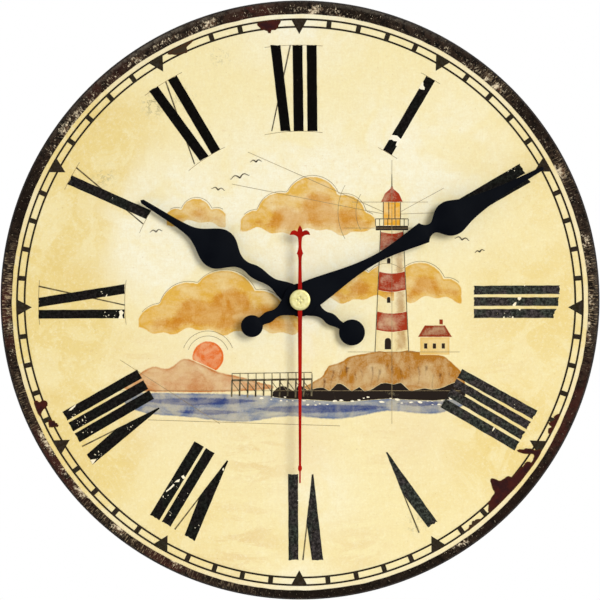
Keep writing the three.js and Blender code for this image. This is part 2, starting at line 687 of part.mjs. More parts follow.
// Middle plate: carries the front pivots and the stator, pegged on the case's four posts
function middlePlate() {
  const edge = roomHalf - SEAT_GAP;
  const outline = roundedRectangle(-edge, edge, roomLow + SEAT_GAP, plateHigh, PLATE_POST_RADIUS);
  const pads = [];
  for (const side of [-1, 1]) {
    const padX = rotorAxis.x + side * (armInner + STATOR_ARM / 2);
    const half = STATOR_ARM / 2 - SEAT_GAP;
    const padY = rotorAxis.y;
    pads.push(block(padX - half, padX + half, padY - half, padY + half, statorFront, plateBack + OVERRUN));
  }
  const back = plateBack - OVERRUN;
  const front = plateFront + OVERRUN;
  const holes = [disc(MINUTE_TUBE_RADIUS + RUNNING_GAP, back, front, PIN_SIDES)];
  for (const place of [intermediateAxis, rotorAxis, thirdAxis]) {
    holes.push(at(place, disc(PIVOT_RADIUS + RUNNING_GAP, back, front, PIN_SIDES)));
  }
  holes.push(at(settingAxis, disc(SETTING_ARBOR_RADIUS + RUNNING_GAP, back, front, PIN_SIDES)));
  for (const place of postPlaces) {
    holes.push(at(place, disc(PLATE_PEG_RADIUS + PRESS_GAP, back, front, PIN_SIDES)));
  }
  return cut(join(prism(outline, plateBack, plateFront, CORNER_STEPS), ...pads), ...holes);
}
add("middle_plate", middlePlate(), whitePlasticFinish);

// Motor: two stator halves whose legs pass each other inside the coil, and the bobbin and its winding
function statorHalf(side) {
  const pole = MAGNET_RADIUS + STATOR_AIR_GAP;
  const far = side * (armOuter + OVERRUN);
  const split = side * STATOR_POLE_SPLIT / 2;
  const beyond = [-far, split].sort((a, b) => a - b);
  const shoe = cut(
    ring(pole, poleRadius, statorBack, statorFront),
    block(...beyond, -2 * poleRadius, 2 * poleRadius, statorBack - OVERRUN, statorFront + OVERRUN),
  );
  const between = (first, last) => [side * first, side * last].sort((a, b) => a - b);
  const legY = coilY - rotorAxis.y;
  const legLow = side < 0 ? legY + STATOR_LEG_GAP / 2 : legY - STATOR_LEG_GAP / 2 - STATOR_LEG;
  const legHigh = legLow + STATOR_LEG;
  const poleBar = between(pole + STATOR_POLE_WIDTH / 2, armOuter);
  const arm = between(armInner, armOuter);
  const leg = between(-COIL_LENGTH / 2, armOuter);
  const half = join(
    shoe,
    block(...poleBar, -STATOR_BAR / 2, STATOR_BAR / 2, statorBack, statorFront),
    block(...arm, -STATOR_BAR / 2, legHigh, statorBack, statorFront),
    block(...leg, legLow, legHigh, statorBack, statorFront),
  );
  return at(rotorAxis, half);
}
const boreHalfY = STATOR_LEG + STATOR_LEG_GAP / 2 + PRESS_GAP;
const boreHalfZ = STATOR_THICKNESS / 2 + PRESS_GAP;

function squareTube(halfLength, outerY, outerZ, innerY, innerZ) {
  return cut(
    block(-halfLength, halfLength, -outerY, outerY, -outerZ, outerZ),
    block(-halfLength - OVERRUN, halfLength + OVERRUN, -innerY, innerY, -innerZ, innerZ),
  );
}

function coilBobbin() {
  const half = COIL_LENGTH / 2;
  const flange = BOBBIN_FLANGE / 2;
  const tubeY = boreHalfY + BOBBIN_WALL;
  const tubeZ = boreHalfZ + BOBBIN_WALL;
  const solids = [squareTube(half, tubeY, tubeZ, boreHalfY, boreHalfZ)];
  for (const side of [-1, 1]) {
    const cheek = squareTube(BOBBIN_FLANGE_THICKNESS / 2, flange, flange, boreHalfY, boreHalfZ);
    solids.push(cheek.translate(side * (half - BOBBIN_FLANGE_THICKNESS / 2), 0, 0));
  }
  return join(...solids).translate(rotorAxis.x, coilY, coilZ);
}

function coilWinding() {
  const outer = BOBBIN_FLANGE / 2 - WINDING_INSET;
  const section = roundedRectangle(-outer, outer, -outer, outer, WINDING_INSET * 2);
  const innerY = boreHalfY + BOBBIN_WALL + PRESS_GAP;
  const innerZ = boreHalfZ + BOBBIN_WALL + PRESS_GAP;
  const half = COIL_LENGTH / 2 - BOBBIN_FLANGE_THICKNESS - PRESS_GAP;
  const body = prism(section, -half, half, CORNER_STEPS).rotateY(Math.PI / 2);
  const core = block(-half - OVERRUN, half + OVERRUN, -innerY, innerY, -innerZ, innerZ);
  return cut(body, core).translate(rotorAxis.x, coilY, coilZ);
}
add("stator_left", statorHalf(-1), ironFinish);
add("stator_right", statorHalf(1), ironFinish);
add("coil_bobbin", coilBobbin(), whitePlasticFinish);
add("coil_winding", coilWinding(), copperFinish);

// Circuit board across the top, with the crystal can and the chip under its resin drop
const circuitHalf = roomHalf - SEAT_GAP;
const circuitLow = plateHigh + PRESS_GAP;
const circuitHigh = roomHigh - SEAT_GAP;
const circuitY = (circuitLow + circuitHigh) / 2;

function crystalCan() {
  const can = new THREE.CylinderGeometry(CRYSTAL_RADIUS, CRYSTAL_RADIUS, CRYSTAL_LENGTH, PIN_SIDES);
  return can.rotateZ(Math.PI / 2).translate(
    CRYSTAL_FROM_LEFT - circuitHalf,
    circuitY,
    circuitFront + PRESS_GAP + CRYSTAL_RADIUS,
  );
}

function chipDrop() {
  const side = new THREE.Path();
  side.moveTo(0, 0);
  side.lineTo(CHIP_RADIUS, 0);
  side.bezierCurveTo(CHIP_RADIUS, CHIP_HEIGHT / 2, CHIP_RADIUS / 2, CHIP_HEIGHT, 0, CHIP_HEIGHT);
  const corners = side.getPoints(CORNER_STEPS).map((point) => [point.x, point.y]);
  return turned(corners, PIN_SIDES).translate(CHIP_FROM_LEFT - circuitHalf, circuitY, circuitFront);
}
const circuitBoard = block(
  -circuitHalf, circuitHalf,
  circuitLow, circuitHigh,
  circuitBack, circuitFront,
);
add("circuit_board", circuitBoard, circuitFinish);
add("quartz_crystal", crystalCan(), steelFinish);
add("chip_blob", chipDrop(), resinFinish);

// Battery contacts: springy strips down the side walls, bowed in the bay, with a tab on the circuit board
function contactStrip(side) {
  const wallX = roomHalf - PRESS_GAP - CONTACT_THICKNESS / 2;
  const bowX = cellHalf + CONTACT_TOUCH_GAP + CONTACT_THICKNESS / 2;
  const bowTop = cellY + BATTERY_DIAMETER / 2 - BATTERY_CLEARANCE;
  const bowLow = cellY - BATTERY_DIAMETER / 2 + BATTERY_CLEARANCE;
  const middle = new THREE.Path();
  middle.moveTo(wallX, circuitY + CONTACT_TAB_HEIGHT / 2);
  middle.lineTo(wallX, bowTop);
  middle.quadraticCurveTo(2 * bowX - wallX, cellY, wallX, bowLow);
  const line = middle.getPoints(CURVE_STEPS + 2);
  const offset = (shift) => line.map((point) => new THREE.Vector2(side * (point.x + shift), point.y));
  const half = CONTACT_THICKNESS / 2;
  const outline = new THREE.Shape([...offset(-half), ...offset(half).reverse()]);
  const strip = prism(outline, circuitFront, stripFront);
  const tab = [side * (wallX - half - CONTACT_TAB), side * wallX].sort((a, b) => a - b);
  const tabLow = circuitY - CONTACT_TAB_HEIGHT / 2;
  const tabHigh = circuitY + CONTACT_TAB_HEIGHT / 2;
  return join(strip, block(...tab, tabLow, tabHigh, circuitFront, circuitFront + CONTACT_THICKNESS));
}
add("positive_contact", contactStrip(1), steelFinish);
add("negative_contact", contactStrip(-1), steelFinish);

// Battery: a round cell lying across the bay, its raised end to the right
function batteryCell() {
  const radius = BATTERY_DIAMETER / 2;
  const corners = [
    [0, -cellHalf],
    [radius - BATTERY_EDGE, -cellHalf],
    [radius, -cellHalf + BATTERY_EDGE],
    [radius, cellHalf - NUB_LENGTH - BATTERY_EDGE],
    [radius - BATTERY_EDGE, cellHalf - NUB_LENGTH],
    [NUB_RADIUS, cellHalf - NUB_LENGTH],
    [NUB_RADIUS, cellHalf],
    [0, cellHalf],
  ];
  return turned(corners).rotateY(Math.PI / 2).translate(0, cellY, cellZ);
}
add("battery_cell", batteryCell(), batteryFinish);

// Going train. A wheel and its pinion share an arbor that runs in the back cover and the middle plate
const pivotBack = bearingFace - PIVOT_DEPTH;
const pivotFront = plateFront - END_PLAY;
const arborBack = bearingFace + END_PLAY / 2;
const arborFront = plateBack - END_PLAY / 2;

function pivotedArbor(radius) {
  return turned([
    [0, pivotBack],
    [PIVOT_RADIUS, pivotBack],
    [PIVOT_RADIUS, arborBack],
    [radius, arborBack],
    [radius, arborFront],
    [PIVOT_RADIUS, arborFront],
    [PIVOT_RADIUS, pivotFront],
    [0, pivotFront],
  ], PIN_SIDES);
}

function wheel(teeth, module, phase, layer) {
  return gear(teeth, module, phase, layer, layer + WHEEL_THICKNESS);
}

function pinion(teeth, module, phase, layer) {
  return gear(teeth, module, phase, layer - PINION_OVERHANG, layer + WHEEL_THICKNESS + PINION_OVERHANG);
}
const intermediatePhase = meshPhase(SECONDS_TEETH, 0, PINION_TEETH, INTERMEDIATE_BEARING);
const rotorPhase = meshPhase(INTERMEDIATE_TEETH, 0, PINION_TEETH, ROTOR_BEARING);
const thirdPhase = meshPhase(PINION_TEETH, 0, THIRD_TEETH, THIRD_BEARING);
const centrePhase = meshPhase(PINION_TEETH, 0, CENTRE_TEETH, THIRD_BEARING + 180);

function rotorPinion() {
  return join(
    pivotedArbor(WHEEL_ARBOR_RADIUS),
    pinion(PINION_TEETH, ROTOR_MODULE, rotorPhase, intermediateLayer),
  );
}

function intermediateWheel() {
  return join(
    pivotedArbor(WHEEL_ARBOR_RADIUS),
    pinion(PINION_TEETH, SECONDS_MODULE, intermediatePhase, secondsLayer),
    wheel(INTERMEDIATE_TEETH, ROTOR_MODULE, 0, intermediateLayer),
  );
}

function secondsWheel() {
  const sleeve = disc(
    THIRD_MODULE * (PINION_TEETH / 2 - TOOTH_DEDENDUM),
    secondsLayer - PINION_OVERHANG,
    thirdLayer + WHEEL_THICKNESS,
    PIN_SIDES,
  );
  const blank = join(
    wheel(SECONDS_TEETH, SECONDS_MODULE, 0, secondsLayer),
    pinion(PINION_TEETH, THIRD_MODULE, 0, thirdLayer),
    sleeve,
  );
  return cut(blank, disc(ARBOR_RADIUS + PRESS_GAP, 0, plateFront, PIN_SIDES));
}

function thirdWheel() {
  return join(
    pivotedArbor(WHEEL_ARBOR_RADIUS),
    wheel(THIRD_TEETH, THIRD_MODULE, thirdPhase, thirdLayer),
    pinion(PINION_TEETH, centreModule, 0, centreLayer),
  );
}

function centreWheel() {
  const bore = disc(MINUTE_TUBE_RADIUS + RUNNING_GAP, clutchFront, plateFront, PIN_SIDES);
  return cut(wheel(CENTRE_TEETH, centreModule, centrePhase, centreLayer), bore);
}
const magnetBore = WHEEL_ARBOR_RADIUS + PRESS_GAP;
const magnetRing = ring(magnetBore, MAGNET_RADIUS, magnetBack, magnetBack + MAGNET_LENGTH);
const secondsArborSide = disc(ARBOR_RADIUS, pivotBack, capBack - PRESS_GAP, PIN_SIDES);
add("rotor_magnet", at(rotorAxis, magnetRing), magnetFinish);
add("rotor_pinion", at(rotorAxis, rotorPinion()), whitePlasticFinish);
add("intermediate_wheel", at(intermediateAxis, intermediateWheel()), whitePlasticFinish);
add("seconds_wheel", secondsWheel(), whitePlasticFinish);
add("seconds_arbor", secondsArborSide, steelFinish);
add("third_wheel", at(thirdAxis, thirdWheel()), whitePlasticFinish);
add("centre_wheel", centreWheel(), whitePlasticFinish);

// Motion work: the minute tube with its slipping clutch, and the wheels down to the hour hand
const minuteWheelPhase = meshPhase(CANNON_TEETH, 0, MINUTE_WHEEL_TEETH, MINUTE_WHEEL_BEARING);
const hourPhase = meshPhase(MINUTE_PINION_TEETH, 0, HOUR_WHEEL_TEETH, MINUTE_WHEEL_BEARING + 180);
const settingPhase = meshPhase(MINUTE_WHEEL_TEETH, minuteWheelPhase, CANNON_TEETH, SETTING_BEARING);

function minuteTube() {
  return turned([
    [minuteTubeBore, clutchBack],
    [CLUTCH_FLANGE_RADIUS, clutchBack],
    [CLUTCH_FLANGE_RADIUS, clutchFront],
    [MINUTE_TUBE_RADIUS, clutchFront],
    [MINUTE_TUBE_RADIUS, minuteTubeEnd],
    [minuteTubeBore, minuteTubeEnd],
  ], PIN_SIDES);
}

function clutchSpring() {
  const inner = MINUTE_TUBE_RADIUS + RUNNING_GAP;
  const back = clutchFront + PRESS_GAP;
  const front = back + CLUTCH_SPRING_HEIGHT;
  return turned([
    [inner, back],
    [CLUTCH_FLANGE_RADIUS, front - CLUTCH_SPRING_STOCK],
    [CLUTCH_FLANGE_RADIUS, front],
    [inner, back + CLUTCH_SPRING_STOCK],
  ], PIN_SIDES);
}

function cannonPinion() {
  const bore = disc(MINUTE_TUBE_RADIUS + PRESS_GAP, plateBack, hourLayer, PIN_SIDES);
  return cut(pinion(CANNON_TEETH, CANNON_MODULE, 0, minuteLayer), bore);
}

function minuteWheel() {
  const hubRadius = MINUTE_POST_RADIUS + POST_SHOULDER;
  const hub = disc(hubRadius, minuteLayer - 2 * END_PLAY, hourLayer, PIN_SIDES);
  const blank = join(
    hub,
    wheel(MINUTE_WHEEL_TEETH, CANNON_MODULE, minuteWheelPhase, minuteLayer),
    pinion(MINUTE_PINION_TEETH, hourModule, 0, hourLayer),
  );
  return cut(blank, disc(MINUTE_POST_RADIUS + RUNNING_GAP, plateBack, frontWallBack, PIN_SIDES));
}

function hourWheel() {
  const tube = disc(HOUR_TUBE_RADIUS, hourLayer - PINION_OVERHANG, hourTubeEnd);
  const blank = join(wheel(HOUR_WHEEL_TEETH, hourModule, hourPhase, hourLayer), tube);
  return cut(blank, disc(hourTubeBore, plateBack, hourTubeEnd + OVERRUN, PIN_SIDES));
}
add("minute_tube", minuteTube(), brassFinish);
add("clutch_spring", clutchSpring(), steelFinish);
add("cannon_pinion", cannonPinion(), whitePlasticFinish);
add("minute_wheel", at(minuteWheelAxis, minuteWheel()), whitePlasticFinish);
add("hour_wheel", hourWheel(), whitePlasticFinish);

// Setting: the arbor with its pinion, and the fluted knob sunk in the cover's cup
function settingArbor() {
  const pinionBack = minuteLayer - PINION_OVERHANG;
  const pinionFront = minuteLayer + WHEEL_THICKNESS + PINION_OVERHANG;
  const side = turned([
    [0, KNOB_RECESS + END_PLAY],
    [SETTING_ARBOR_RADIUS, KNOB_RECESS + END_PLAY],
    [SETTING_ARBOR_RADIUS, pinionBack],
    [SETTING_PIVOT_RADIUS, pinionFront],
    [SETTING_PIVOT_RADIUS, frontWallBack - END_PLAY],
    [0, frontWallBack - END_PLAY],
  ], PIN_SIDES);
  return join(side, pinion(CANNON_TEETH, CANNON_MODULE, settingPhase, minuteLayer));
}

function settingKnob() {
  const points = [];
  const steps = 4 * KNOB_FLUTES;
  for (let i = 0; i < steps; i += 1) {
    const turn = 2 * Math.PI * i / steps;
    const radius = KNOB_RADIUS - KNOB_FLUTE_DEPTH * (1 - Math.cos(KNOB_FLUTES * turn)) / 2;
    points.push(new THREE.Vector2(radius * Math.cos(turn), radius * Math.sin(turn)));
  }
  const front = KNOB_RECESS + KNOB_HEIGHT;
  const bore = SETTING_ARBOR_RADIUS + PRESS_GAP;
  const socket = disc(bore, KNOB_RECESS + PRESS_GAP, front + OVERRUN, PIN_SIDES);
  return cut(prism(new THREE.Shape(points), KNOB_RECESS, front), socket);
}
add("setting_arbor", at(settingAxis, settingArbor()), whitePlasticFinish);
add("setting_knob", at(settingAxis, settingKnob()), blackPlasticFinish);

// Hands. Each is drawn pointing to twelve as its right-hand side from tip to tail, then mirrored.
// The shares in the curves place their handles between one named size and the next
function distinct(points) {
  return points.filter((point, i) => i === 0 || point.distanceTo(points[i - 1]) > MERGE_DISTANCE);
}

function mirroredPlate(side, hole, back, thickness) {
  const right = distinct(side.getPoints(CURVE_STEPS));
  const left = right.slice(1, -1).reverse().map((point) => new THREE.Vector2(-point.x, point.y));
  const shape = new THREE.Shape([...right, ...left].reverse());
  shape.holes.push(circlePath(hole));
  return prism(shape, back, back + thickness);
}

// From the hub's flank, round the hub and down the tail to the end of its ball
function hubAndTail(side, flankTurn, tailHalf, ballAt, ballRadius) {
  const tailTurn = Math.acos(tailHalf / HAND_HUB_RADIUS);
  const tailTop = -HAND_HUB_RADIUS * Math.sin(tailTurn);
  side.absarc(0, 0, HAND_HUB_RADIUS, flankTurn, -tailTurn, true);
  const neckHalf = tailHalf * TAIL_NECK_SHARE;
  const neckRise = Math.sqrt(ballRadius ** 2 - neckHalf ** 2);
  const neckY = neckRise - ballAt;
  const firstY = blend(tailTop, neckY, 0.3);
  const secondY = blend(tailTop, neckY, 0.72);
  side.bezierCurveTo(tailHalf * 0.85, firstY, tailHalf * 1.6, secondY, neckHalf, neckY);
  side.absarc(0, -ballAt, ballRadius, Math.atan2(neckRise, neckHalf), -Math.PI / 2, true);
}

function minuteHandSide() {
  const along = (share) => blend(MINUTE_HEART_AT, MINUTE_REACH, share);
  const neckY = MINUTE_COLLAR_AT + MINUTE_NECK_ABOVE_COLLAR;
  const heartDown = (share) => blend(MINUTE_HEART_AT, neckY, share);
  const shank = (share) => blend(MINUTE_COLLAR_AT, MINUTE_WAIST_AT, share);
  const flankTurn = degrees(MINUTE_FLANK);
  const flankX = HAND_HUB_RADIUS * Math.cos(flankTurn);
  const flankY = HAND_HUB_RADIUS * Math.sin(flankTurn);
  const bladeHalf = MINUTE_HEART_HALF * MINUTE_BLADE_SHARE;
  const side = new THREE.Path();
  side.moveTo(0, MINUTE_REACH);
  side.lineTo(MINUTE_TIP_HALF, MINUTE_REACH - MINUTE_TIP_HALF);
  side.bezierCurveTo(
    bladeHalf * 0.4, along(0.65),
    bladeHalf * 0.62, along(0.34),
    bladeHalf, along(0.167),
  );
  side.bezierCurveTo(
    blend(bladeHalf, MINUTE_HEART_HALF, 0.45), along(0.1),
    MINUTE_HEART_HALF, along(0.06),
    MINUTE_HEART_HALF, MINUTE_HEART_AT,
  );
  side.bezierCurveTo(
    MINUTE_HEART_HALF, heartDown(0.44),
    MINUTE_NECK_HALF * 1.1, heartDown(0.52),
    MINUTE_NECK_HALF, neckY,
  );
  side.quadraticCurveTo(
    MINUTE_NECK_HALF, blend(MINUTE_COLLAR_AT, neckY, 0.36),
    MINUTE_COLLAR_HALF, MINUTE_COLLAR_AT,
  );
  side.bezierCurveTo(
    MINUTE_COLLAR_HALF * 0.8, shank(0.25),
    MINUTE_WAIST_HALF, shank(0.57),
    MINUTE_WAIST_HALF, MINUTE_WAIST_AT,
  );
  side.bezierCurveTo(
    MINUTE_WAIST_HALF, blend(flankY, MINUTE_WAIST_AT, 0.64),
    flankX * 0.63, blend(flankY, MINUTE_WAIST_AT, 0.23),
    flankX, flankY,
  );
  hubAndTail(side, flankTurn, MINUTE_TAIL_HALF, MINUTE_BALL_AT, MINUTE_BALL_RADIUS);
  return side;
}

function hourHandSide() {
  const blade = (share) => blend(HOUR_REACH, HOUR_BLADE_AT, share);
  const heartUp = (share) => blend(HOUR_BLADE_AT, HOUR_HEART_AT, share);
  const heartDown = (share) => blend(HOUR_HEART_AT, HOUR_NECK_AT, share);
  const beadUp = blend(HOUR_NECK_AT, HOUR_BEAD_AT, 0.5);
  const beadDown = blend(HOUR_BEAD_AT, HOUR_WAIST_AT, 0.5);
  const flankTurn = degrees(HOUR_FLANK);
  const flankX = HAND_HUB_RADIUS * Math.cos(flankTurn);
  const flankY = HAND_HUB_RADIUS * Math.sin(flankTurn);
  const side = new THREE.Path();
  side.moveTo(0, HOUR_REACH);
  side.lineTo(HOUR_TIP_HALF, HOUR_REACH - HOUR_TIP_HALF);
  side.bezierCurveTo(
    HOUR_TIP_HALF * 1.5, blade(0.4),
    HOUR_BLADE_HALF * 0.55, blade(0.85),
    HOUR_BLADE_HALF, HOUR_BLADE_AT,
  );
  side.bezierCurveTo(
    blend(HOUR_BLADE_HALF, HOUR_HEART_HALF, 0.22), heartUp(0.37),
    HOUR_HEART_HALF, heartUp(0.53),
    HOUR_HEART_HALF, HOUR_HEART_AT,
  );
  side.bezierCurveTo(
    HOUR_HEART_HALF, heartDown(0.48),
    HOUR_NECK_HALF * 1.1, heartDown(0.55),
    HOUR_NECK_HALF, HOUR_NECK_AT,
  );
  side.bezierCurveTo(
    HOUR_NECK_HALF, beadUp,
    HOUR_BEAD_HALF, beadUp,
    HOUR_BEAD_HALF, HOUR_BEAD_AT,
  );
  side.bezierCurveTo(
    HOUR_BEAD_HALF, beadDown,
    HOUR_WAIST_HALF, beadDown,
    HOUR_WAIST_HALF, HOUR_WAIST_AT,
  );
  side.bezierCurveTo(
    HOUR_WAIST_HALF, blend(flankY, HOUR_WAIST_AT, 0.57),
    flankX * 0.56, blend(flankY, HOUR_WAIST_AT, 0.28),
    flankX, flankY,
  );
  hubAndTail(side, flankTurn, HOUR_TAIL_HALF, HOUR_BALL_AT, HOUR_BALL_RADIUS);
  return side;
}

function secondHandSide() {
  const beadY = SECOND_REACH - SECOND_BEAD_FROM_TIP;
  const leafRoot = blend(SECOND_LEAF_AT, SECOND_BULB_AT, 0.12);
  const crown = blend(SECOND_LEAF_AT, SECOND_TAIL_REACH, 0.35);
  const stemY = blend(SECOND_BULB_AT, SECOND_LEAF_AT, 0.42);
  const side = new THREE.Path();
  side.moveTo(0, SECOND_REACH);
  side.lineTo(SECOND_TIP_HALF, SECOND_REACH - SECOND_TIP_HALF);
  side.lineTo(SECOND_TIP_HALF, beadY + 1.5 * SECOND_BEAD_HALF);
  side.quadraticCurveTo(SECOND_BEAD_HALF, beadY + SECOND_BEAD_HALF, SECOND_BEAD_HALF, beadY);
  side.quadraticCurveTo(
    SECOND_BEAD_HALF, beadY - SECOND_BEAD_HALF,
    SECOND_NEEDLE_HALF, beadY - 1.5 * SECOND_BEAD_HALF,
  );
  side.lineTo(SECOND_HUB_HALF, 0);
  side.lineTo(SECOND_STEM_HALF, blend(0, -SECOND_BULB_AT, 0.8));
  side.quadraticCurveTo(SECOND_STEM_HALF, -SECOND_BULB_AT, SECOND_BULB_HALF, -SECOND_BULB_AT);
  side.quadraticCurveTo(
    SECOND_STEM_HALF, blend(-SECOND_BULB_AT, -stemY, 0.5),
    SECOND_STEM_HALF, -stemY,
  );
  side.quadraticCurveTo(SECOND_STEM_HALF, blend(-stemY, -leafRoot, 0.6), SECOND_HUB_HALF, -leafRoot);
  side.quadraticCurveTo(
    SECOND_LEAF_HALF * 0.5, -SECOND_LEAF_AT - 0.6 * SECOND_STEM_HALF,
    SECOND_LEAF_HALF, -SECOND_LEAF_AT,
  );
  side.bezierCurveTo(
    SECOND_LEAF_HALF * 0.9, blend(-SECOND_LEAF_AT, -SECOND_TAIL_REACH, 0.5),
    SECOND_LEAF_HALF * 0.55, blend(-SECOND_LEAF_AT, -SECOND_TAIL_REACH, 0.62),
    SECOND_BULB_HALF * 0.75, -crown,
  );
  side.quadraticCurveTo(
    SECOND_BULB_HALF * 0.7, blend(-crown, -SECOND_TAIL_REACH, 0.5),
    0, -SECOND_TAIL_REACH,
  );
  return side;
}

function collet(tubeRadius, back, handBack, front) {
  const bore = tubeRadius + PRESS_GAP;
  const spigot = bore + COLLET_WALL;
  const flange = spigot + COLLET_FLANGE_WIDTH;
  return turned([
    [bore, back],
    [flange, back],
    [flange, handBack],
    [spigot, handBack],
    [spigot, front],
    [bore, front],
  ]);
}

function handHole(tubeRadius) {
  return tubeRadius + PRESS_GAP + COLLET_WALL + PRESS_GAP;
}

function domedCap() {
  const capFront = capBack + CAP_HEIGHT;
  const side = new THREE.Path();
  side.moveTo(0, capBack);
  side.lineTo(CAP_RADIUS, capBack);
  side.lineTo(CAP_RADIUS, capFront - CAP_EDGE);
  side.quadraticCurveTo(CAP_RADIUS, capFront, CAP_RADIUS - 2 * CAP_EDGE, capFront);
  side.lineTo(0, capFront);
  const corners = side.getPoints(CORNER_STEPS).map((point) => [point.x, point.y]);
  return turned(corners);
}

function turnedTo(clockwise) {
  const group = new THREE.Group();
  group.rotation.z = -degrees(clockwise);
  clock.add(group);
  return group;
}
const hourGroup = turnedTo(HOUR_HAND_ANGLE);
const minuteGroup = turnedTo(MINUTE_HAND_ANGLE);
const secondGroup = turnedTo(SECOND_HAND_ANGLE);
const hourHole = handHole(HOUR_TUBE_RADIUS);
const hourPlate = mirroredPlate(hourHandSide(), hourHole, hourHandBack, HAND_THICKNESS);
const hourCollet = collet(HOUR_TUBE_RADIUS, hourColletBack, hourHandBack, hourColletFront);
const minuteHole = handHole(MINUTE_TUBE_RADIUS);
const minutePlate = mirroredPlate(minuteHandSide(), minuteHole, minuteHandBack, HAND_THICKNESS);
const minuteCollet = collet(MINUTE_TUBE_RADIUS, minuteColletBack, minuteHandBack, minuteColletFront);
const secondHole = ARBOR_RADIUS + PRESS_GAP;
const secondPlate = mirroredPlate(secondHandSide(), secondHole, secondHandBack, SECOND_HAND_THICKNESS);
const secondTubeOuter = secondHole + SECOND_TUBE_WALL;
const secondTube = ring(secondHole, secondTubeOuter, secondTubeBack, secondHandBack, PIN_SIDES);
add("hour_hand", hourPlate, blackHandFinish, hourGroup);
add("hour_hand_collet", hourCollet, brassFinish, hourGroup);
add("minute_hand", minutePlate, blackHandFinish, minuteGroup);
add("minute_hand_collet", minuteCollet, brassFinish, minuteGroup);
add("second_hand", secondPlate, redHandFinish, secondGroup);
add("second_hand_tube", secondTube, brassFinish, secondGroup);
add("second_hand_cap", domedCap(), brassFinish, secondGroup);

export default clock;
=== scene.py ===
"""Looks of the ships clock: its printed dial, hands and battery movement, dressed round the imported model."""
import json
import math
import random

import bmesh
import bpy
from mathutils import Matrix, Vector, geometry
import numpy as np


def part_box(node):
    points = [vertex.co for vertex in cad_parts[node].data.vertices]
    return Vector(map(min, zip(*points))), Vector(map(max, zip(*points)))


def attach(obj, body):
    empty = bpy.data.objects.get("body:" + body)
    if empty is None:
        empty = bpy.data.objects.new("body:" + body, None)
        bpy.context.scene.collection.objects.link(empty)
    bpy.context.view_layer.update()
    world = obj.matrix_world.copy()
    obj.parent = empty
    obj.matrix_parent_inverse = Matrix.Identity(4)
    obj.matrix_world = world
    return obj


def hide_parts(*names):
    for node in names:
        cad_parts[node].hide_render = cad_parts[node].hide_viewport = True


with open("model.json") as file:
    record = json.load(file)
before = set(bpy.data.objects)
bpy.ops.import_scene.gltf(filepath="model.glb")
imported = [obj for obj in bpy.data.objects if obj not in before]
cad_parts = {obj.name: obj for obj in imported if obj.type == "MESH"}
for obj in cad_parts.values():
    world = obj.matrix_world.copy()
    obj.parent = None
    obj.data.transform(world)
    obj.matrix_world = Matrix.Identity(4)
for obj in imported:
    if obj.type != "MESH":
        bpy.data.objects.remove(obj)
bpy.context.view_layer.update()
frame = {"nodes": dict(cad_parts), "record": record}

# Places on the dial are in millimetres right of and above the hands' axis,
# and depths in millimetres off the wall
MM = 0.001
AXIS = (0, 0)


def rear_of(node):
    return -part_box(node)[1].y / MM


def front_of(node):
    return -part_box(node)[0].y / MM


def depths_of(node):
    return rear_of(node), front_of(node)


def reach_of(node):
    """How far a node reaches to the right of the hands' axis."""
    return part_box(node)[1].x / MM


def middle_of(node):
    """The middle of a node as a place on the dial."""
    low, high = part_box(node)
    return ((low.x + high.x) / 2 / MM, (low.z + high.z) / 2 / MM)


BOARD_RADIUS = reach_of("dial_board")
BOARD_REAR = rear_of("dial_board")
BOARD_FRONT = front_of("dial_board")
BOARD_EDGE_ROUND = 0.8
PRINT_RADIUS = reach_of("dial_print")
PRINT_FACE = front_of("dial_print")
HUB_HOLE = 4.3
PRINT_SOFT = 0.12

# Films of paint lie on the print in thin layers, each sunk a little into what it covers
FILM_STEP = 0.03
FILM_SINK = 0.02
WASH_LAYER, SHADE_LAYER, DETAIL_LAYER, PENCIL_LAYER, INK_LAYER, HAIR_LAYER, CHIP_LAYER = range(1, 8)

# The print sits a little low on the board
PRINT_CENTRE = (0.0, -1.1)

# Minute track and rim, as radii about the print's centre
RIM_INNER = 144.2
RIM_FRAY = 0.16
TRACK_OUTER = 141.6
TRACK_INNER = 137.8
TRACK_LINE = 0.9
TICK_WIDTH = 2.4
POINTER_WIDTH = 8.1
POINTER_APEX = 134.2
MINUTES = 60
HOURS = 12

# The minute marks are drawn about a lower point than the track, so they lean down either side of it
MARK_LEAN = math.radians(1.1)
MARK_PHASE = math.radians(8)

# Numerals stand on a ring with their feet to the centre
NUMERAL_TOP = 128.7
NUMERAL_FOOT = 85.6
HAIRLINE = 0.74


def spot(u, v, depth):
    return Vector((u * MM, -depth * MM, v * MM))


def polar(centre, radius, turn):
    """The place at a distance from a centre, at an angle counted from the right."""
    return (centre[0] + radius * math.cos(turn), centre[1] + radius * math.sin(turn))


def even_steps(total, steps):
    return [total * i / steps for i in range(steps + 1)]


def circle(centre, radius, steps):
    return [polar(centre, radius, 2 * math.pi * i / steps) for i in range(steps)]


def hour_turn(hour):
    """Clock angle of an hour in degrees."""
    return 360 / HOURS * hour


def linear(red, green, blue):
    """Linear colour of an sRGB colour given in 0 to 255."""
    def channel(value):
        share = value / 255
        return share / 12.92 if share <= 0.04045 else ((share + 0.055) / 1.055) ** 2.4
    return (channel(red), channel(green), channel(blue), 1.0)


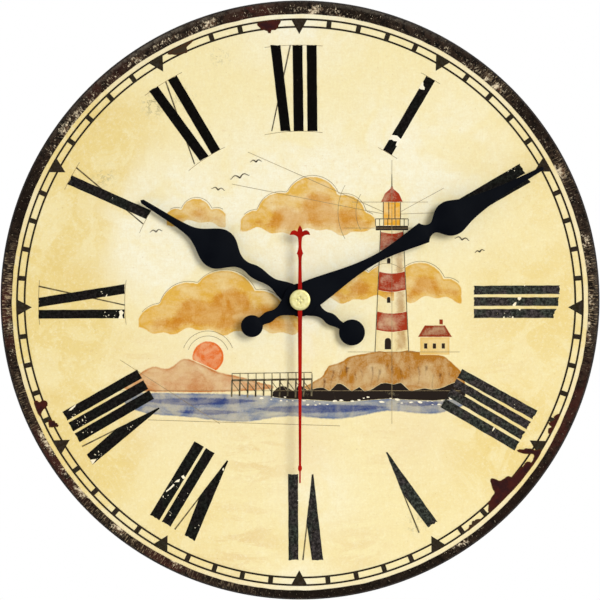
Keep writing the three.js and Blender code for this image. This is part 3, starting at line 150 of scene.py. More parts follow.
# Node recipes
class Recipe:
    """Nodes of one material or group, added one by one; each method returns the socket to go on with."""

    def __init__(self, tree):
        self.tree = tree

    def node(self, kind, inputs=None, **settings):
        made = self.tree.nodes.new(kind)
        for name, value in settings.items():
            setattr(made, name, value)
        for name, value in (inputs or {}).items():
            self.feed(made.inputs[name], value)
        return made

    def feed(self, socket, value):
        if isinstance(value, bpy.types.NodeSocket):
            self.tree.links.new(value, socket)
        else:
            socket.default_value = value

    def place(self, stretch=(1, 1, 1), turn=(0, 0, 0)):
        """Object coordinates in millimetres, stretched and turned for a grain."""
        coordinates = self.node("ShaderNodeTexCoord").outputs["Object"]
        scale = tuple(factor / MM for factor in stretch)
        inputs = {"Vector": coordinates, "Scale": scale, "Rotation": turn}
        return self.node("ShaderNodeMapping", inputs).outputs["Vector"]

    def noise(self, where, size, detail=3.0, roughness=0.5, distortion=0.0):
        inputs = {
            "Vector": where,
            "Scale": 1 / size,
            "Detail": detail,
            "Roughness": roughness,
            "Distortion": distortion,
        }
        return self.node("ShaderNodeTexNoise", inputs).outputs["Fac"]

    def ramp(self, value, low, high, start=0.0, end=1.0):
        """Smooth step of a value from low to high."""
        inputs = {"Value": value, "From Min": low, "From Max": high, "To Min": start, "To Max": end}
        made = self.node("ShaderNodeMapRange", inputs, interpolation_type="SMOOTHSTEP")
        return made.outputs["Result"]

    def blotches(self, where, size, levels, **grain):
        """Noise cut to soft blotches between two levels, with a start and an end where these are given."""
        return self.ramp(self.noise(where, size, **grain), *levels)

    def maths(self, operation, first, second=0.0, clamp=False):
        inputs = {0: first, 1: second}
        return self.node("ShaderNodeMath", inputs, operation=operation, use_clamp=clamp).outputs[0]

    def times(self, first, second, clamp=False):
        return self.maths("MULTIPLY", first, second, clamp)

    def mix(self, share, first, second, blend="MIX"):
        """Mixes two colours; a tuple is an sRGB colour."""
        ends = [linear(*colour) if isinstance(colour, tuple) else colour for colour in (first, second)]
        inputs = {0: share, 6: ends[0], 7: ends[1]}
        settings = {"data_type": "RGBA", "blend_type": blend, "clamp_factor": True}
        return self.node("ShaderNodeMix", inputs, **settings).outputs[2]

    def tint(self, share, strength, first, second):
        return self.mix(self.times(share, strength), first, second)

    def wave(self, where, scale, distortion, detail, **settings):
        inputs = {"Vector": where, "Scale": scale, "Distortion": distortion, "Detail": detail}
        return self.node("ShaderNodeTexWave", inputs, **settings).outputs["Fac"]

    def parts(self, where):
        """The three coordinates of a place."""
        return self.node("ShaderNodeSeparateXYZ", {"Vector": where}).outputs

    def attribute(self, name):
        return self.node("ShaderNodeAttribute", attribute_name=name).outputs["Fac"]

    def distance(self, where, centre):
        inputs = {0: where, 1: centre}
        return self.node("ShaderNodeVectorMath", inputs, operation="DISTANCE").outputs["Value"]

    def around(self, where, u, v, reach, depth=PRINT_FACE):
        """One at a place on the dial, falling to nothing at its reach."""
        return self.ramp(self.distance(where, (u, -depth, v)), reach, 0.0)

    def spots(self, where, places):
        """The strongest of several soft spots on the dial, each given as place, reach and strength."""
        strongest = 0.0
        for u, v, reach, strength in places:
            share = self.times(self.around(where, u, v, reach), strength)
            strongest = self.maths("MAXIMUM", strongest, share)
        return strongest

    def round_the_dial(self, where, along, out):
        """Coordinates that run round the dial and out from its middle, counted in the given lengths."""
        parts = self.parts(where)
        turn = self.maths("ARCTAN2", parts["X"], parts["Z"])
        reach = self.distance(where, (0, -PRINT_FACE, 0))
        inputs = {
            "X": self.times(turn, PRINT_RADIUS / along),
            "Y": self.maths("DIVIDE", reach, out),
        }
        return self.node("ShaderNodeCombineXYZ", inputs).outputs["Vector"]

    def bump(self, height, strength, distance):
        inputs = {"Height": height, "Strength": strength, "Distance": distance * MM}
        return self.node("ShaderNodeBump", inputs).outputs["Normal"]


class Finish(Recipe):
    """A material with one surface shader, under construction."""

    def __init__(self, name, **constants):
        self.material = bpy.data.materials.new(name)
        self.material.use_nodes = True
        super().__init__(self.material.node_tree)
        self.shader = self.tree.nodes["Principled BSDF"]
        for socket, value in constants.items():
            self.shader.inputs[socket.replace("_", " ")].default_value = value

    def done(self, colour, roughness=None, normal=None, metallic=None):
        links = {"Base Color": colour, "Roughness": roughness, "Normal": normal, "Metallic": metallic}
        for socket, value in links.items():
            if value is not None:
                self.feed(self.shader.inputs[socket], value)
        return self.material


# Paper of the print: cream, paler round the middle, with golden stains towards the rim.
# Each stain, pale place and brown spot is a place on the dial, its reach and its strength
GOLDEN = (
    (-128, -4, 66, 1.3), (-118, -74, 58, 1.6), (-106, 74, 54, 1.1), (-104, 44, 34, 1.2), (124, -6, 62, 0.75),
    (106, -68, 58, 0.9), (116, 64, 52, 0.5), (-58, -112, 46, 0.5), (2, -119, 28, 0.5), (66, -104, 40, 0.3),
)
BLEACHED = (
    (-2, 30, 92, 1.4), (-60, 32, 58, 1.45), (60, 66, 66, 0.9), (8, -98, 30, 0.5), (0, 148, 54, 1.0),
    (0, -146, 26, 0.6),
)
FLESHED = ((-56, -46, 54, 0.55), (60, -62, 40, 0.4), (2, -76, 34, 0.35))
WATERED = (
    (-30, -120, 32, 1.0), (30, -126, 26, 0.6), (-22, -79, 26, 0.9), (42, -74, 24, 0.5), (-84, -34, 26, 0.6),
    (98, -28, 26, 0.5),
)
SMUDGED = (
    (-73, 98, 9, 0.9), (-58, 101, 8, 0.9), (-40, 122, 8, 0.5), (-98, 62, 9, 0.5), (58, -112, 8, 0.5),
)
FOXED = ((12, 64, 22, 1.0), (-36, 82, 16, 0.5), (96, 22, 18, 0.5), (-104, -24, 20, 0.6))


def aged_paper_group():
    group = bpy.data.node_groups.new("aged_paper", "ShaderNodeTree")
    group.interface.new_socket(name="Color", in_out="OUTPUT", socket_type="NodeSocketColor")
    group.interface.new_socket(name="Height", in_out="OUTPUT", socket_type="NodeSocketFloat")
    recipe = Recipe(group)
    where = recipe.place()
    drift = recipe.noise(where, 40, detail=4, roughness=0.55, distortion=0.8)
    patches = recipe.noise(where, 20, detail=6, roughness=0.66, distortion=1.0)
    clouds = recipe.noise(where, 30, detail=5, roughness=0.6, distortion=1.0)
    reach = recipe.distance(where, (PRINT_CENTRE[0], -PRINT_FACE, PRINT_CENTRE[1]))
    band = recipe.ramp(reach, TRACK_OUTER, TRACK_OUTER + 0.8, 0.0, 0.55)
    colour = recipe.mix(band, (247, 234, 182), (245, 233, 204))
    golden = recipe.spots(where, GOLDEN)
    share = recipe.times(golden, recipe.ramp(patches, 0.43, 0.55, 0.48, 1.35), clamp=True)
    colour = recipe.mix(share, colour, (236, 212, 136))
    deep = recipe.times(golden, recipe.ramp(drift, 0.5, 0.7, 0.0, 0.7))
    colour = recipe.mix(deep, colour, (231, 202, 120))
    share = recipe.times(recipe.spots(where, FLESHED), recipe.ramp(drift, 0.35, 0.6, 0.5, 1.1))
    colour = recipe.mix(share, colour, (236, 214, 174))
    bleached = recipe.spots(where, BLEACHED)
    share = recipe.times(bleached, recipe.ramp(clouds, 0.36, 0.56, 0.35, 1.3), clamp=True)
    colour = recipe.mix(share, colour, (251, 247, 222))
    tide = recipe.noise(recipe.place((0.32, 1, 1.1)), 8.5, detail=7, roughness=0.72, distortion=0.5)
    tide = recipe.times(recipe.ramp(tide, 0.46, 0.57), recipe.spots(where, WATERED))
    colour = recipe.tint(tide, 0.8, colour, (230, 201, 140))
    mottle = recipe.blotches(where, 5.5, (0.36, 0.64), detail=6, roughness=0.7)
    colour = recipe.tint(mottle, 0.27, colour, (240, 221, 156))
    bright = recipe.blotches(where, 3.4, (0.52, 0.72), detail=5, roughness=0.7)
    colour = recipe.tint(bright, 0.3, colour, (253, 246, 214))
    for stretch in ((0.1, 1, 1), (1, 1, 0.1)):
        streak = recipe.noise(recipe.place(stretch), 0.9, detail=3, roughness=0.6)
        colour = recipe.mix(recipe.ramp(streak, 0.45, 0.75, 0.0, 0.12), colour, (233, 208, 148))
    grain = recipe.blotches(where, 1.0, (0.34, 0.66), detail=4, roughness=0.7)
    colour = recipe.tint(grain, 0.2, colour, (228, 204, 142))
    pale_grain = recipe.blotches(where, 1.2, (0.5, 0.7), detail=4, roughness=0.7, distortion=0.4)
    colour = recipe.tint(pale_grain, 0.26, colour, (255, 250, 224))
    foxing = recipe.blotches(where, 2.2, (0.6, 0.72), detail=3, roughness=0.6)
    foxing = recipe.times(foxing, recipe.spots(where, FOXED))
    colour = recipe.tint(foxing, 0.35, colour, (206, 160, 92))
    smudge = recipe.blotches(where, 2.4, (0.5, 0.59), detail=6, roughness=0.8, distortion=0.6)
    smudge = recipe.times(smudge, recipe.spots(where, SMUDGED))
    colour = recipe.tint(smudge, 0.85, colour, (150, 140, 100))
    flecks = recipe.blotches(where, 1.3, (0.69, 0.78), detail=2, roughness=0.6)
    colour = recipe.tint(flecks, 0.34, colour, (196, 160, 100))
    fibre = recipe.noise(where, 0.35, detail=3, roughness=0.7)
    colour = recipe.mix(recipe.ramp(fibre, 0.2, 0.8, 0.0, 0.06), colour, (214, 186, 128))
    recipe.node("NodeGroupOutput", {"Color": colour, "Height": fibre})
    return group


AGED_PAPER = aged_paper_group()


def paper_under(finish):
    """The aged paper as a film of paint sees it, so that a film thins out to bare paper."""
    return finish.node("ShaderNodeGroup", node_tree=AGED_PAPER)


def printed_paper():
    finish = Finish("printed_paper", Specular_IOR_Level=0.12)
    paper = paper_under(finish)
    rough = finish.ramp(paper.outputs["Height"], 0.2, 0.8, 0.58, 0.72)
    normal = finish.bump(paper.outputs["Height"], 0.12, 0.05)
    reach = finish.distance(finish.place(), (0, -PRINT_FACE, 0))
    edge = finish.ramp(reach, PRINT_RADIUS - 0.6, PRINT_RADIUS - 0.3)
    colour = finish.mix(edge, paper.outputs["Color"], (36, 31, 28))
    return finish.done(colour, rough, normal)


def printed_ink(name, body):
    """Dark ink, worn grey and speckled where the wear attribute is high, with pinholes down to the paper."""
    finish = Finish(name, Specular_IOR_Level=0.01)
    where = finish.place()
    wear = finish.attribute("wear")
    speckle = finish.blotches(where, 1.5, (0.4, 0.68), detail=5, roughness=0.75)
    patch = finish.noise(where, 9, detail=3)
    tint = finish.mix(finish.ramp(patch, 0.4, 0.6), (88, 94, 84), (98, 90, 88))
    grey = finish.maths("ADD", finish.times(speckle, 0.72), 0.1)
    colour = finish.tint(wear, grey, body, tint)
    holes = finish.blotches(where, 0.9, (0.7, 0.76), detail=2, roughness=0.6)
    holes = finish.times(holes, finish.ramp(wear, 0.1, 0.9, 0.05, 0.6))
    colour = finish.mix(holes, colour, paper_under(finish).outputs["Color"])
    rough = finish.ramp(speckle, 0, 1, 0.5, 0.68)
    return finish.done(colour, rough, finish.bump(speckle, 0.1, 0.03))


def hairline_ink():
    """Thin brown-black ink of the pen lines, letting the paper through."""
    finish = Finish("hairline_ink", Roughness=0.65, Specular_IOR_Level=0.12)
    where = finish.place()
    strength = finish.blotches(where, 3, (0.25, 0.7, 0.72, 1.0), detail=4, roughness=0.7)
    colour = finish.mix(strength, paper_under(finish).outputs["Color"], (52, 40, 20))
    return finish.done(colour)


def faint_pencil():
    """Soft pencil, drawn thin so that the eye mixes it with the paper."""
    finish = Finish("faint_pencil", Roughness=0.7, Specular_IOR_Level=0.05)
    where = finish.place()
    tooth = finish.blotches(where, 0.6, (0.35, 0.65), detail=3, roughness=0.7)
    press = finish.blotches(where, 14, (0.3, 0.7), detail=2)
    share = finish.times(finish.maths("ADD", tooth, press), 0.5)
    return finish.done(finish.mix(share, (182, 160, 116), (96, 82, 60)))


def bare_chip():
    """Paper laid bare where ink has flaked off, whiter than the aged face."""
    finish = Finish("bare_chip", Roughness=0.7, Specular_IOR_Level=0.12)
    paper = paper_under(finish)
    colour = finish.mix(0.55, paper.outputs["Color"], (254, 248, 232))
    return finish.done(colour, normal=finish.bump(paper.outputs["Height"], 0.15, 0.05))


PEN_INK = hairline_ink()
PENCIL = faint_pencil()
BARE_PAPER = bare_chip()

# Places along the rim that rusted, were scuffed to the board, are darker, wore at the outer edge with a
# painted bevel highlight there, or were scratched across, each with its reach and its strength
RUSTED = (
    (136, -62, 44, 0.9), (106, -106, 26, 0.4), (-124, -84, 36, 0.8), (-66, -134, 26, 0.8),
    (-24, 147, 20, 0.9), (-100, 110, 30, 0.5), (-148, -8, 26, 1.0),
)
SCUFFED = (
    (-112, 96, 60, 1.0), (-60, 134, 60, 0.9), (-147, -12, 40, 0.9), (-122, -84, 46, 0.9), (8, 148, 56, 0.9),
    (82, 124, 60, 0.7), (132, 66, 50, 0.7), (146, 2, 46, 1.3), (84, -122, 16, 1.6), (98, 110, 13, 2.2),
    (132, 68, 13, 2.2), (-86, 120, 12, 2.0), (-116, 88, 14, 1.8), (-128, -72, 12, 2.0), (-112, -96, 10, 2.0),
    (-92, -116, 12, 2.2), (-64, -132, 10, 1.8), (-44, 140, 12, 1.8), (6, 147, 12, 1.8), (144, 28, 10, 2.0),
    (146, -14, 12, 2.2),
)
DARKER_ON_RIM = (
    (8, -148, 66, 0.85), (108, -104, 46, 0.75), (-140, 50, 34, 0.8), (60, -136, 40, 0.6), (118, 92, 26, 0.6),
    (30, 146, 24, 0.6),
)
EDGE_WEAR_AND_HIGHLIGHT = ((-75, 130, 92, 1.0), (44, 142, 56, 0.8), (147, 6, 40, 0.5))
SCRATCHED = (
    (-88, -120, 62, 0.7), (-44, -142, 40, 0.45), (147, 2, 46, 0.9), (-148, 4, 34, 1.1), (-138, -54, 30, 0.6),
    (100, 108, 16, 0.8), (133, 66, 16, 0.8),
)


def worn_rim():
    """Dark painted rim, scuffed to tan flecks along some arcs, scratched or rusted along others, and lighter
    grey along its outer edge where the paint wore and a bevel highlight is painted.
    """
    finish = Finish("worn_rim", Specular_IOR_Level=0.03)
    where = finish.place()
    cloud = finish.blotches(where, 3.2, (0.38, 0.62), detail=5, roughness=0.75)
    colour = finish.mix(cloud, (11, 8, 6), (52, 40, 31))
    rust = finish.blotches(where, 7, (0.36, 0.6), detail=5, roughness=0.65)
    rust = finish.times(rust, finish.spots(where, RUSTED))
    colour = finish.mix(rust, colour, (68, 34, 27))
    # Darker towards near-black at the listed places along the rim
    colour = finish.mix(finish.spots(where, DARKER_ON_RIM), colour, (22, 15, 9))
    reach = finish.distance(where, (0, -PRINT_FACE, 0))
    # Lighter grey along the outer edge at the listed places: worn paint, and a painted bevel highlight
    edge = finish.ramp(reach, PRINT_RADIUS - 2.4, PRINT_RADIUS - 0.6)
    edge = finish.times(edge, finish.spots(where, EDGE_WEAR_AND_HIGHLIGHT))
    edge = finish.times(edge, finish.blotches(where, 2.4, (0.35, 0.6), detail=4, roughness=0.7))
    colour = finish.tint(edge, 0.6, colour, (112, 104, 92))
    inner = finish.ramp(reach, PRINT_RADIUS - 0.3, PRINT_RADIUS - 3.4, 0.1, 1.0)
    scuffs = finish.times(finish.spots(where, SCUFFED), inner)
    cluster = finish.blotches(where, 7.5, (0.4, 0.6, 0.1, 1.0), detail=3, roughness=0.6)
    scuffs = finish.times(scuffs, cluster)
    grain = finish.noise(finish.round_the_dial(where, 0.85, 1.5), 1.0, detail=5, roughness=0.8)
    level = finish.maths("ADD", grain, finish.times(scuffs, 0.14))
    flakes = finish.ramp(level, 0.61, 0.69)
    tone = finish.blotches(where, 1.7, (0.36, 0.62), detail=3)
    tan = finish.mix(tone, (92, 68, 50), (236, 218, 184))
    colour = finish.tint(flakes, 0.92, colour, tan)
    streaks = finish.noise(finish.round_the_dial(where, 0.6, 4.0), 1.0, detail=3, roughness=0.6)
    streaks = finish.times(finish.ramp(streaks, 0.52, 0.66), finish.spots(where, SCRATCHED))
    colour = finish.tint(streaks, 0.8, colour, (186, 162, 126))
    rough = finish.ramp(flakes, 0, 1, 0.55, 0.75)
    return finish.done(colour, rough, finish.bump(flakes, 0.15, 0.05))


# Stains at the track that are dark and dull, not red
DULL_STAINS = ((-60, 128, 22, 1.5), (88, -110, 12, 1.5))


def rust_stain():
    """Dark red-brown stains at the track, browner towards their edges."""
    finish = Finish("rust_stain", Specular_IOR_Level=0.05)
    where = finish.place()
    cloud = finish.blotches(where, 4, (0.35, 0.68), detail=5, roughness=0.65)
    colour = finish.mix(cloud, (42, 16, 18), (68, 27, 21))
    colour = finish.mix(finish.spots(where, DULL_STAINS), colour, (58, 46, 32))
    border = finish.ramp(finish.attribute("edge_mm"), 0.9, 0.0, 0.0, 0.75)
    colour = finish.mix(border, colour, (74, 40, 14))
    rough = finish.ramp(cloud, 0, 1, 0.55, 0.72)
    return finish.done(colour, rough, finish.bump(cloud, 0.25, 0.08))


def fibreboard():
    """Pressed fibreboard: raw and flecked on its back, painted dark round the rim."""
    finish = Finish("fibreboard", Specular_IOR_Level=0.2)
    where = finish.place()
    flecks = finish.noise(finish.place((1, 3, 1)), 0.6, detail=6, roughness=0.75)
    raw = finish.mix(finish.ramp(flecks, 0.3, 0.7), (112, 84, 56), (168, 134, 96))
    strands = finish.blotches(finish.place((0.4, 1, 1.6), (0, 0.5, 0)), 1.2, (0.6, 0.74), detail=4)
    raw = finish.tint(strands, 0.5, raw, (84, 58, 36))
    cloud = finish.blotches(where, 3, (0.4, 0.7), detail=5, roughness=0.7)
    paint = finish.mix(cloud, (34, 30, 28), (62, 54, 48))
    depth = finish.parts(where)["Y"]
    ragged = finish.maths("ADD", depth, finish.ramp(flecks, 0.3, 0.7, -0.25, 0.25))
    painted = finish.ramp(ragged, -BOARD_REAR - 0.9, -BOARD_REAR - 1.3)
    colour = finish.mix(painted, raw, paint)
    rough = finish.ramp(flecks, 0.3, 0.7, 0.6, 0.85)
    return finish.done(colour, rough, finish.bump(flecks, 0.35, 0.12))


def hand_paint(name, body, shade):
    """Satin paint on stamped metal: faint orange peel, a touch of colour drift."""
    finish = Finish(name, Specular_IOR_Level=0.03)
    where = finish.place()
    peel = finish.noise(where, 0.7, detail=2)
    drift = finish.blotches(where, 12, (0.35, 0.65), detail=3)
    colour = finish.mix(drift, body, shade)
    rough = finish.ramp(peel, 0.3, 0.7, 0.42, 0.56)
    return finish.done(colour, rough, finish.bump(peel, 0.06, 0.04))


# Scale of the wave texture that sets the lathe's rings about 0.6 mm apart
LATHE_SCALE = 1 / 1.884


def turned_brass():
    """Brass of the hub's fittings, with the fine rings that a lathe leaves about the hands' axis."""
    finish = Finish("hub_brass", Metallic=1.0)
    where = finish.place()
    parts = finish.parts(where)
    flat = finish.node("ShaderNodeCombineXYZ", {"X": parts["X"], "Y": parts["Z"]}).outputs["Vector"]
    wobble = finish.noise(where, 2.5, detail=2)
    rings = finish.wave(flat, LATHE_SCALE, 0.4, 1.0, wave_type="RINGS", rings_direction="SPHERICAL")
    tarnish = finish.blotches(where, 3.2, (0.4, 0.75), detail=4, roughness=0.6)
    colour = finish.tint(tarnish, 0.55, (214, 186, 122), (172, 138, 80))
    rough = finish.ramp(finish.maths("ADD", finish.times(rings, 0.5), wobble), 0.3, 1.2, 0.22, 0.42)
    return finish.done(colour, rough, finish.bump(rings, 0.12, 0.01))


# Meshes: turned shapes, plates and films
def mesh_of(name, verts, faces):
    mesh = bpy.data.meshes.new(name)
    mesh.from_pydata([tuple(vert) for vert in verts], [], faces)
    mesh.update()
    return mesh


def outward(mesh):
    """Merges doubles and turns every face of a closed mesh outwards."""
    work = bmesh.new()
    work.from_mesh(mesh)
    bmesh.ops.remove_doubles(work, verts=work.verts, dist=1e-7)
    bmesh.ops.recalc_face_normals(work, faces=work.faces)
    work.to_mesh(mesh)
    work.free()
    return mesh


def shaded(mesh, angle=35):
    mesh.shade_smooth()
    mesh.set_sharp_from_angle(angle=math.radians(angle))
    return mesh


def placed(name, data):
    """A new object in the scene."""
    thing = bpy.data.objects.new(name, data)
    bpy.context.scene.collection.objects.link(thing)
    return thing


def add_piece(name, mesh, material, body, slot, *nodes):
    """A finished piece that rides on a body, and stands for the nodes that are named."""
    piece = placed(name, mesh)
    mesh.materials.clear()
    mesh.materials.append(material)
    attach(piece, body)
    if nodes:
        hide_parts(*nodes)


def keep_values(mesh, label, values):
    """Keeps a number for each point of a mesh, which its material reads."""
    attribute = mesh.attributes.new(label, "FLOAT", "POINT")
    attribute.data.foreach_set("value", np.array(values, np.float32))


def turned(name, profile, centre=AXIS, sides=96, flutes=0):
    """Turns (radius, depth) points about a centre; a profile that starts off the axis closes into a ring.

    A third number in a point is how deep the flutes cut in there.
    """
    verts = []
    rings = []
    for radius, depth, *cut in profile:
        count = sides if radius > 0 else 1
        rings.append(range(len(verts), len(verts) + count))
        for i in range(count):
            turn = 2 * math.pi * i / sides
            far = radius - sum(cut) * (1 - math.cos(flutes * turn)) / 2
            verts.append(spot(*polar(centre, far, turn), depth))
    faces = []
    pairs = list(zip(rings, rings[1:]))
    if profile[0][0] > 0:
        pairs.append((rings[-1], rings[0]))
    for first, second in pairs:
        for i in range(sides):
            corners = [
                first[i % len(first)],
                first[(i + 1) % len(first)],
                second[(i + 1) % len(second)],
                second[i % len(second)],
            ]
            corners = list(dict.fromkeys(corners))
            if len(corners) > 2:
                faces.append(corners)
    return shaded(outward(mesh_of(name, verts, faces)))


def rounded(radius, depth, inward, back, size, steps=4):
    """Points of a quarter round at a corner of a profile; inward and back are the ways to the two faces."""
    return [
        (radius + inward * size * (1 - math.sin(turn)), depth + back * size * (1 - math.cos(turn)))
        for turn in even_steps(math.pi / 2, steps)
    ]


def fill(outlines, inner=()):
    """Triangles inside closed outlines, with more points inside where a film needs them."""
    points = []
    edges = []
    for outline in outlines:
        start = len(points)
        points.extend(outline)
        count = len(outline)
        edges.extend((start + i, start + (i + 1) % count) for i in range(count))
    points.extend(inner)
    made = geometry.delaunay_2d_cdt([Vector(p) for p in points], edges, [], 1, 1e-6)
    return [tuple(p) for p in made[0]], [tuple(face) for face in made[2]]


def slab(name, points, triangles, back, front):
    """A thin closed body over a flat triangulated shape."""
    count = len(points)
    verts = [spot(u, v, front) for u, v in points] + [spot(u, v, back) for u, v in points]
    faces = list(triangles)
    faces += [tuple(i + count for i in reversed(face)) for face in triangles]
    sides = {(face[i], face[(i + 1) % len(face)]) for face in triangles for i in range(len(face))}
    faces += [(b, a, a + count, b + count) for a, b in sorted(sides) if (b, a) not in sides]
    return mesh_of(name, verts, faces)


def inside(points, outline):
    """Which points lie inside an outline."""
    corners = np.array(outline)
    following = np.roll(corners, -1, axis=0)
    x, y = points[:, :1], points[:, 1:]
    crosses = (corners[:, 1] > y) != (following[:, 1] > y)
    slope = (following[:, 0] - corners[:, 0]) / (following[:, 1] - corners[:, 1] + 1e-12)
    left = x < corners[:, 0] + slope * (y - corners[:, 1])
    return (crosses & left).sum(1) % 2 == 1


def to_border(points, outline):
    """Distance of each point to the nearest side of an outline."""
    starts = np.array(outline)
    along = np.roll(starts, -1, axis=0) - starts
    offset = points[:, None] - starts
    share = np.clip((offset * along).sum(2) / ((along ** 2).sum(1) + 1e-12), 0, 1)
    return np.linalg.norm(offset - share[..., None] * along, axis=2).min(1)


def film(name, shapes, layer, material, spacing=None, wear=None):
    """A thin film of paint over closed outlines on the dial, with more points inside it at a spacing.

    Each point keeps its distance to the outline, where there is a spacing, and its shape's wear.
    """
    verts, faces, borders, wears = [], [], [], []
    front = PRINT_FACE + layer * FILM_STEP
    for number, outline in enumerate(shapes):
        inner = ()
        if spacing:
            corners = np.array(outline)
            low, high = corners.min(0), corners.max(0)
            columns, rows = np.mgrid[low[0]:high[0]:spacing, low[1]:high[1]:spacing]
            columns = columns + np.where(np.arange(columns.shape[1]) % 2, spacing / 2, 0)
            grid = np.column_stack([columns.ravel(), rows.ravel()])
            grid = grid[inside(grid, outline)]
            if len(grid):
                grid = grid[to_border(grid, outline) > spacing * 0.4]
            inner = [tuple(p) for p in grid]
        points, triangles = fill([outline], inner)
        part = slab(name, points, triangles, PRINT_FACE - FILM_SINK, front)
        start = len(verts)
        verts.extend(vert.co.copy() for vert in part.vertices)
        faces.extend([start + i for i in face.vertices] for face in part.polygons)
        edge = to_border(np.array(points), outline) if spacing else np.zeros(len(points))
        borders.extend(list(edge) * 2)
        wears.extend([wear[number] if wear else 0.0] * (2 * len(points)))
        bpy.data.meshes.remove(part)
    mesh = mesh_of(name, verts, faces)
    keep_values(mesh, "edge_mm", borders)
    keep_values(mesh, "wear", wears)
    add_piece(name, mesh, material, "clock_body", "print")


def ribbon(path, width, taper=1.0):
    """Outline of a pen line along a path; taper is the share of its width left at the far end."""
    left, right = [], []
    last = len(path) - 1
    for i, (u, v) in enumerate(path):
        before, after = path[max(i - 1, 0)], path[min(i + 1, last)]
        way = Vector((after[0] - before[0], after[1] - before[1])).normalized()
        half = width / 2 * (1 + (taper - 1) * i / last)
        left.append((u - way.y * half, v + way.x * half))
        right.append((u + way.y * half, v - way.x * half))
    return right + left[::-1]


def smooth_loop(corners, steps):
    """A closed smooth line through its corners."""
    count = len(corners)
    line = []
    for i in range(count):
        p = [Vector(corners[(i + k) % count]) for k in (-1, 0, 1, 2)]
        for step in range(steps):
            t = step / steps
            line.append(tuple(0.5 * (
                2 * p[1]
                + (p[2] - p[0]) * t
                + (2 * p[0] - 5 * p[1] + 4 * p[2] - p[3]) * t * t
                + (3 * p[1] - p[0] - 3 * p[2] + p[3]) * t * t * t
            )))
    return line


def on_print(clockwise, radius, across=0.0):
    """Place at a clock angle and radius about the print's centre, shifted across the radius."""
    turn = math.radians(clockwise)
    u = PRINT_CENTRE[0] + radius * math.sin(turn) + across * math.cos(turn)
    v = PRINT_CENTRE[1] + radius * math.cos(turn) - across * math.sin(turn)
    return (u, v)


# Board and print
def dial_board():
    rear_edge = rounded(BOARD_RADIUS, BOARD_REAR, -1, 1, BOARD_EDGE_ROUND)
    front_edge = rounded(BOARD_RADIUS, BOARD_FRONT, -1, -1, BOARD_EDGE_ROUND)
    profile = [(HUB_HOLE, BOARD_REAR)]
    profile += [(BOARD_RADIUS - BOARD_EDGE_ROUND, BOARD_REAR)]
    profile += rear_edge[1:]
    profile += front_edge[::-1]
    profile += [(HUB_HOLE, BOARD_FRONT)]
    mesh = turned("dial_board_pressed", profile, sides=256)
    add_piece("dial_board_pressed", mesh, fibreboard(), "clock_body", "board", "dial_board")


def dial_print():
    profile = [(HUB_HOLE, BOARD_FRONT), (PRINT_RADIUS, BOARD_FRONT)]
    profile += rounded(PRINT_RADIUS, PRINT_FACE, -1, -1, PRINT_SOFT)[::-1]
    profile += [(HUB_HOLE, PRINT_FACE)]
    mesh = turned("dial_print_sheet", profile, sides=256)
    add_piece("dial_print_sheet", mesh, printed_paper(), "clock_body", "print", "dial_print")


def ragged(count, size, seed):
    """A wandering edge round a circle: waves of chance phase and height."""
    chance = random.Random(seed)
    waves = []
    for folds in range(7, 120, 4):
        phase = chance.uniform(0, 6.28)
        waves.append((folds, phase, size / math.sqrt(folds) * chance.uniform(0.4, 1)))
    edge = []
    for i in range(count):
        turn = 2 * math.pi * i / count
        edge.append(sum(height * math.sin(folds * turn + phase) for folds, phase, height in waves))
    return edge


RING_SIDES = 512
RING_WEAR = 0.25
MARK_WEAR = 0.3


def arc_film(name, inner, outer, layer, material, outer_centre=PRINT_CENTRE, fray=0.0):
    """A ring of paint between two circles, its inner edge frayed."""
    sides = RING_SIDES
    edge = ragged(sides, fray, 3)
    points = []
    for centre, radius, share in ((PRINT_CENTRE, inner, 1), (outer_centre, outer, 0)):
        for i in range(sides):
            turn = 2 * math.pi * i / sides
            reach = radius + share * edge[i]
            points.append(polar(centre, reach, turn))
    faces = [(i, sides + i, sides + (i + 1) % sides, (i + 1) % sides) for i in range(sides)]
    mesh = slab(name, points, faces, PRINT_FACE - FILM_SINK, PRINT_FACE + layer * FILM_STEP)
    keep_values(mesh, "wear", np.full(len(mesh.vertices), RING_WEAR))
    add_piece(name, mesh, material, "clock_body", "print")


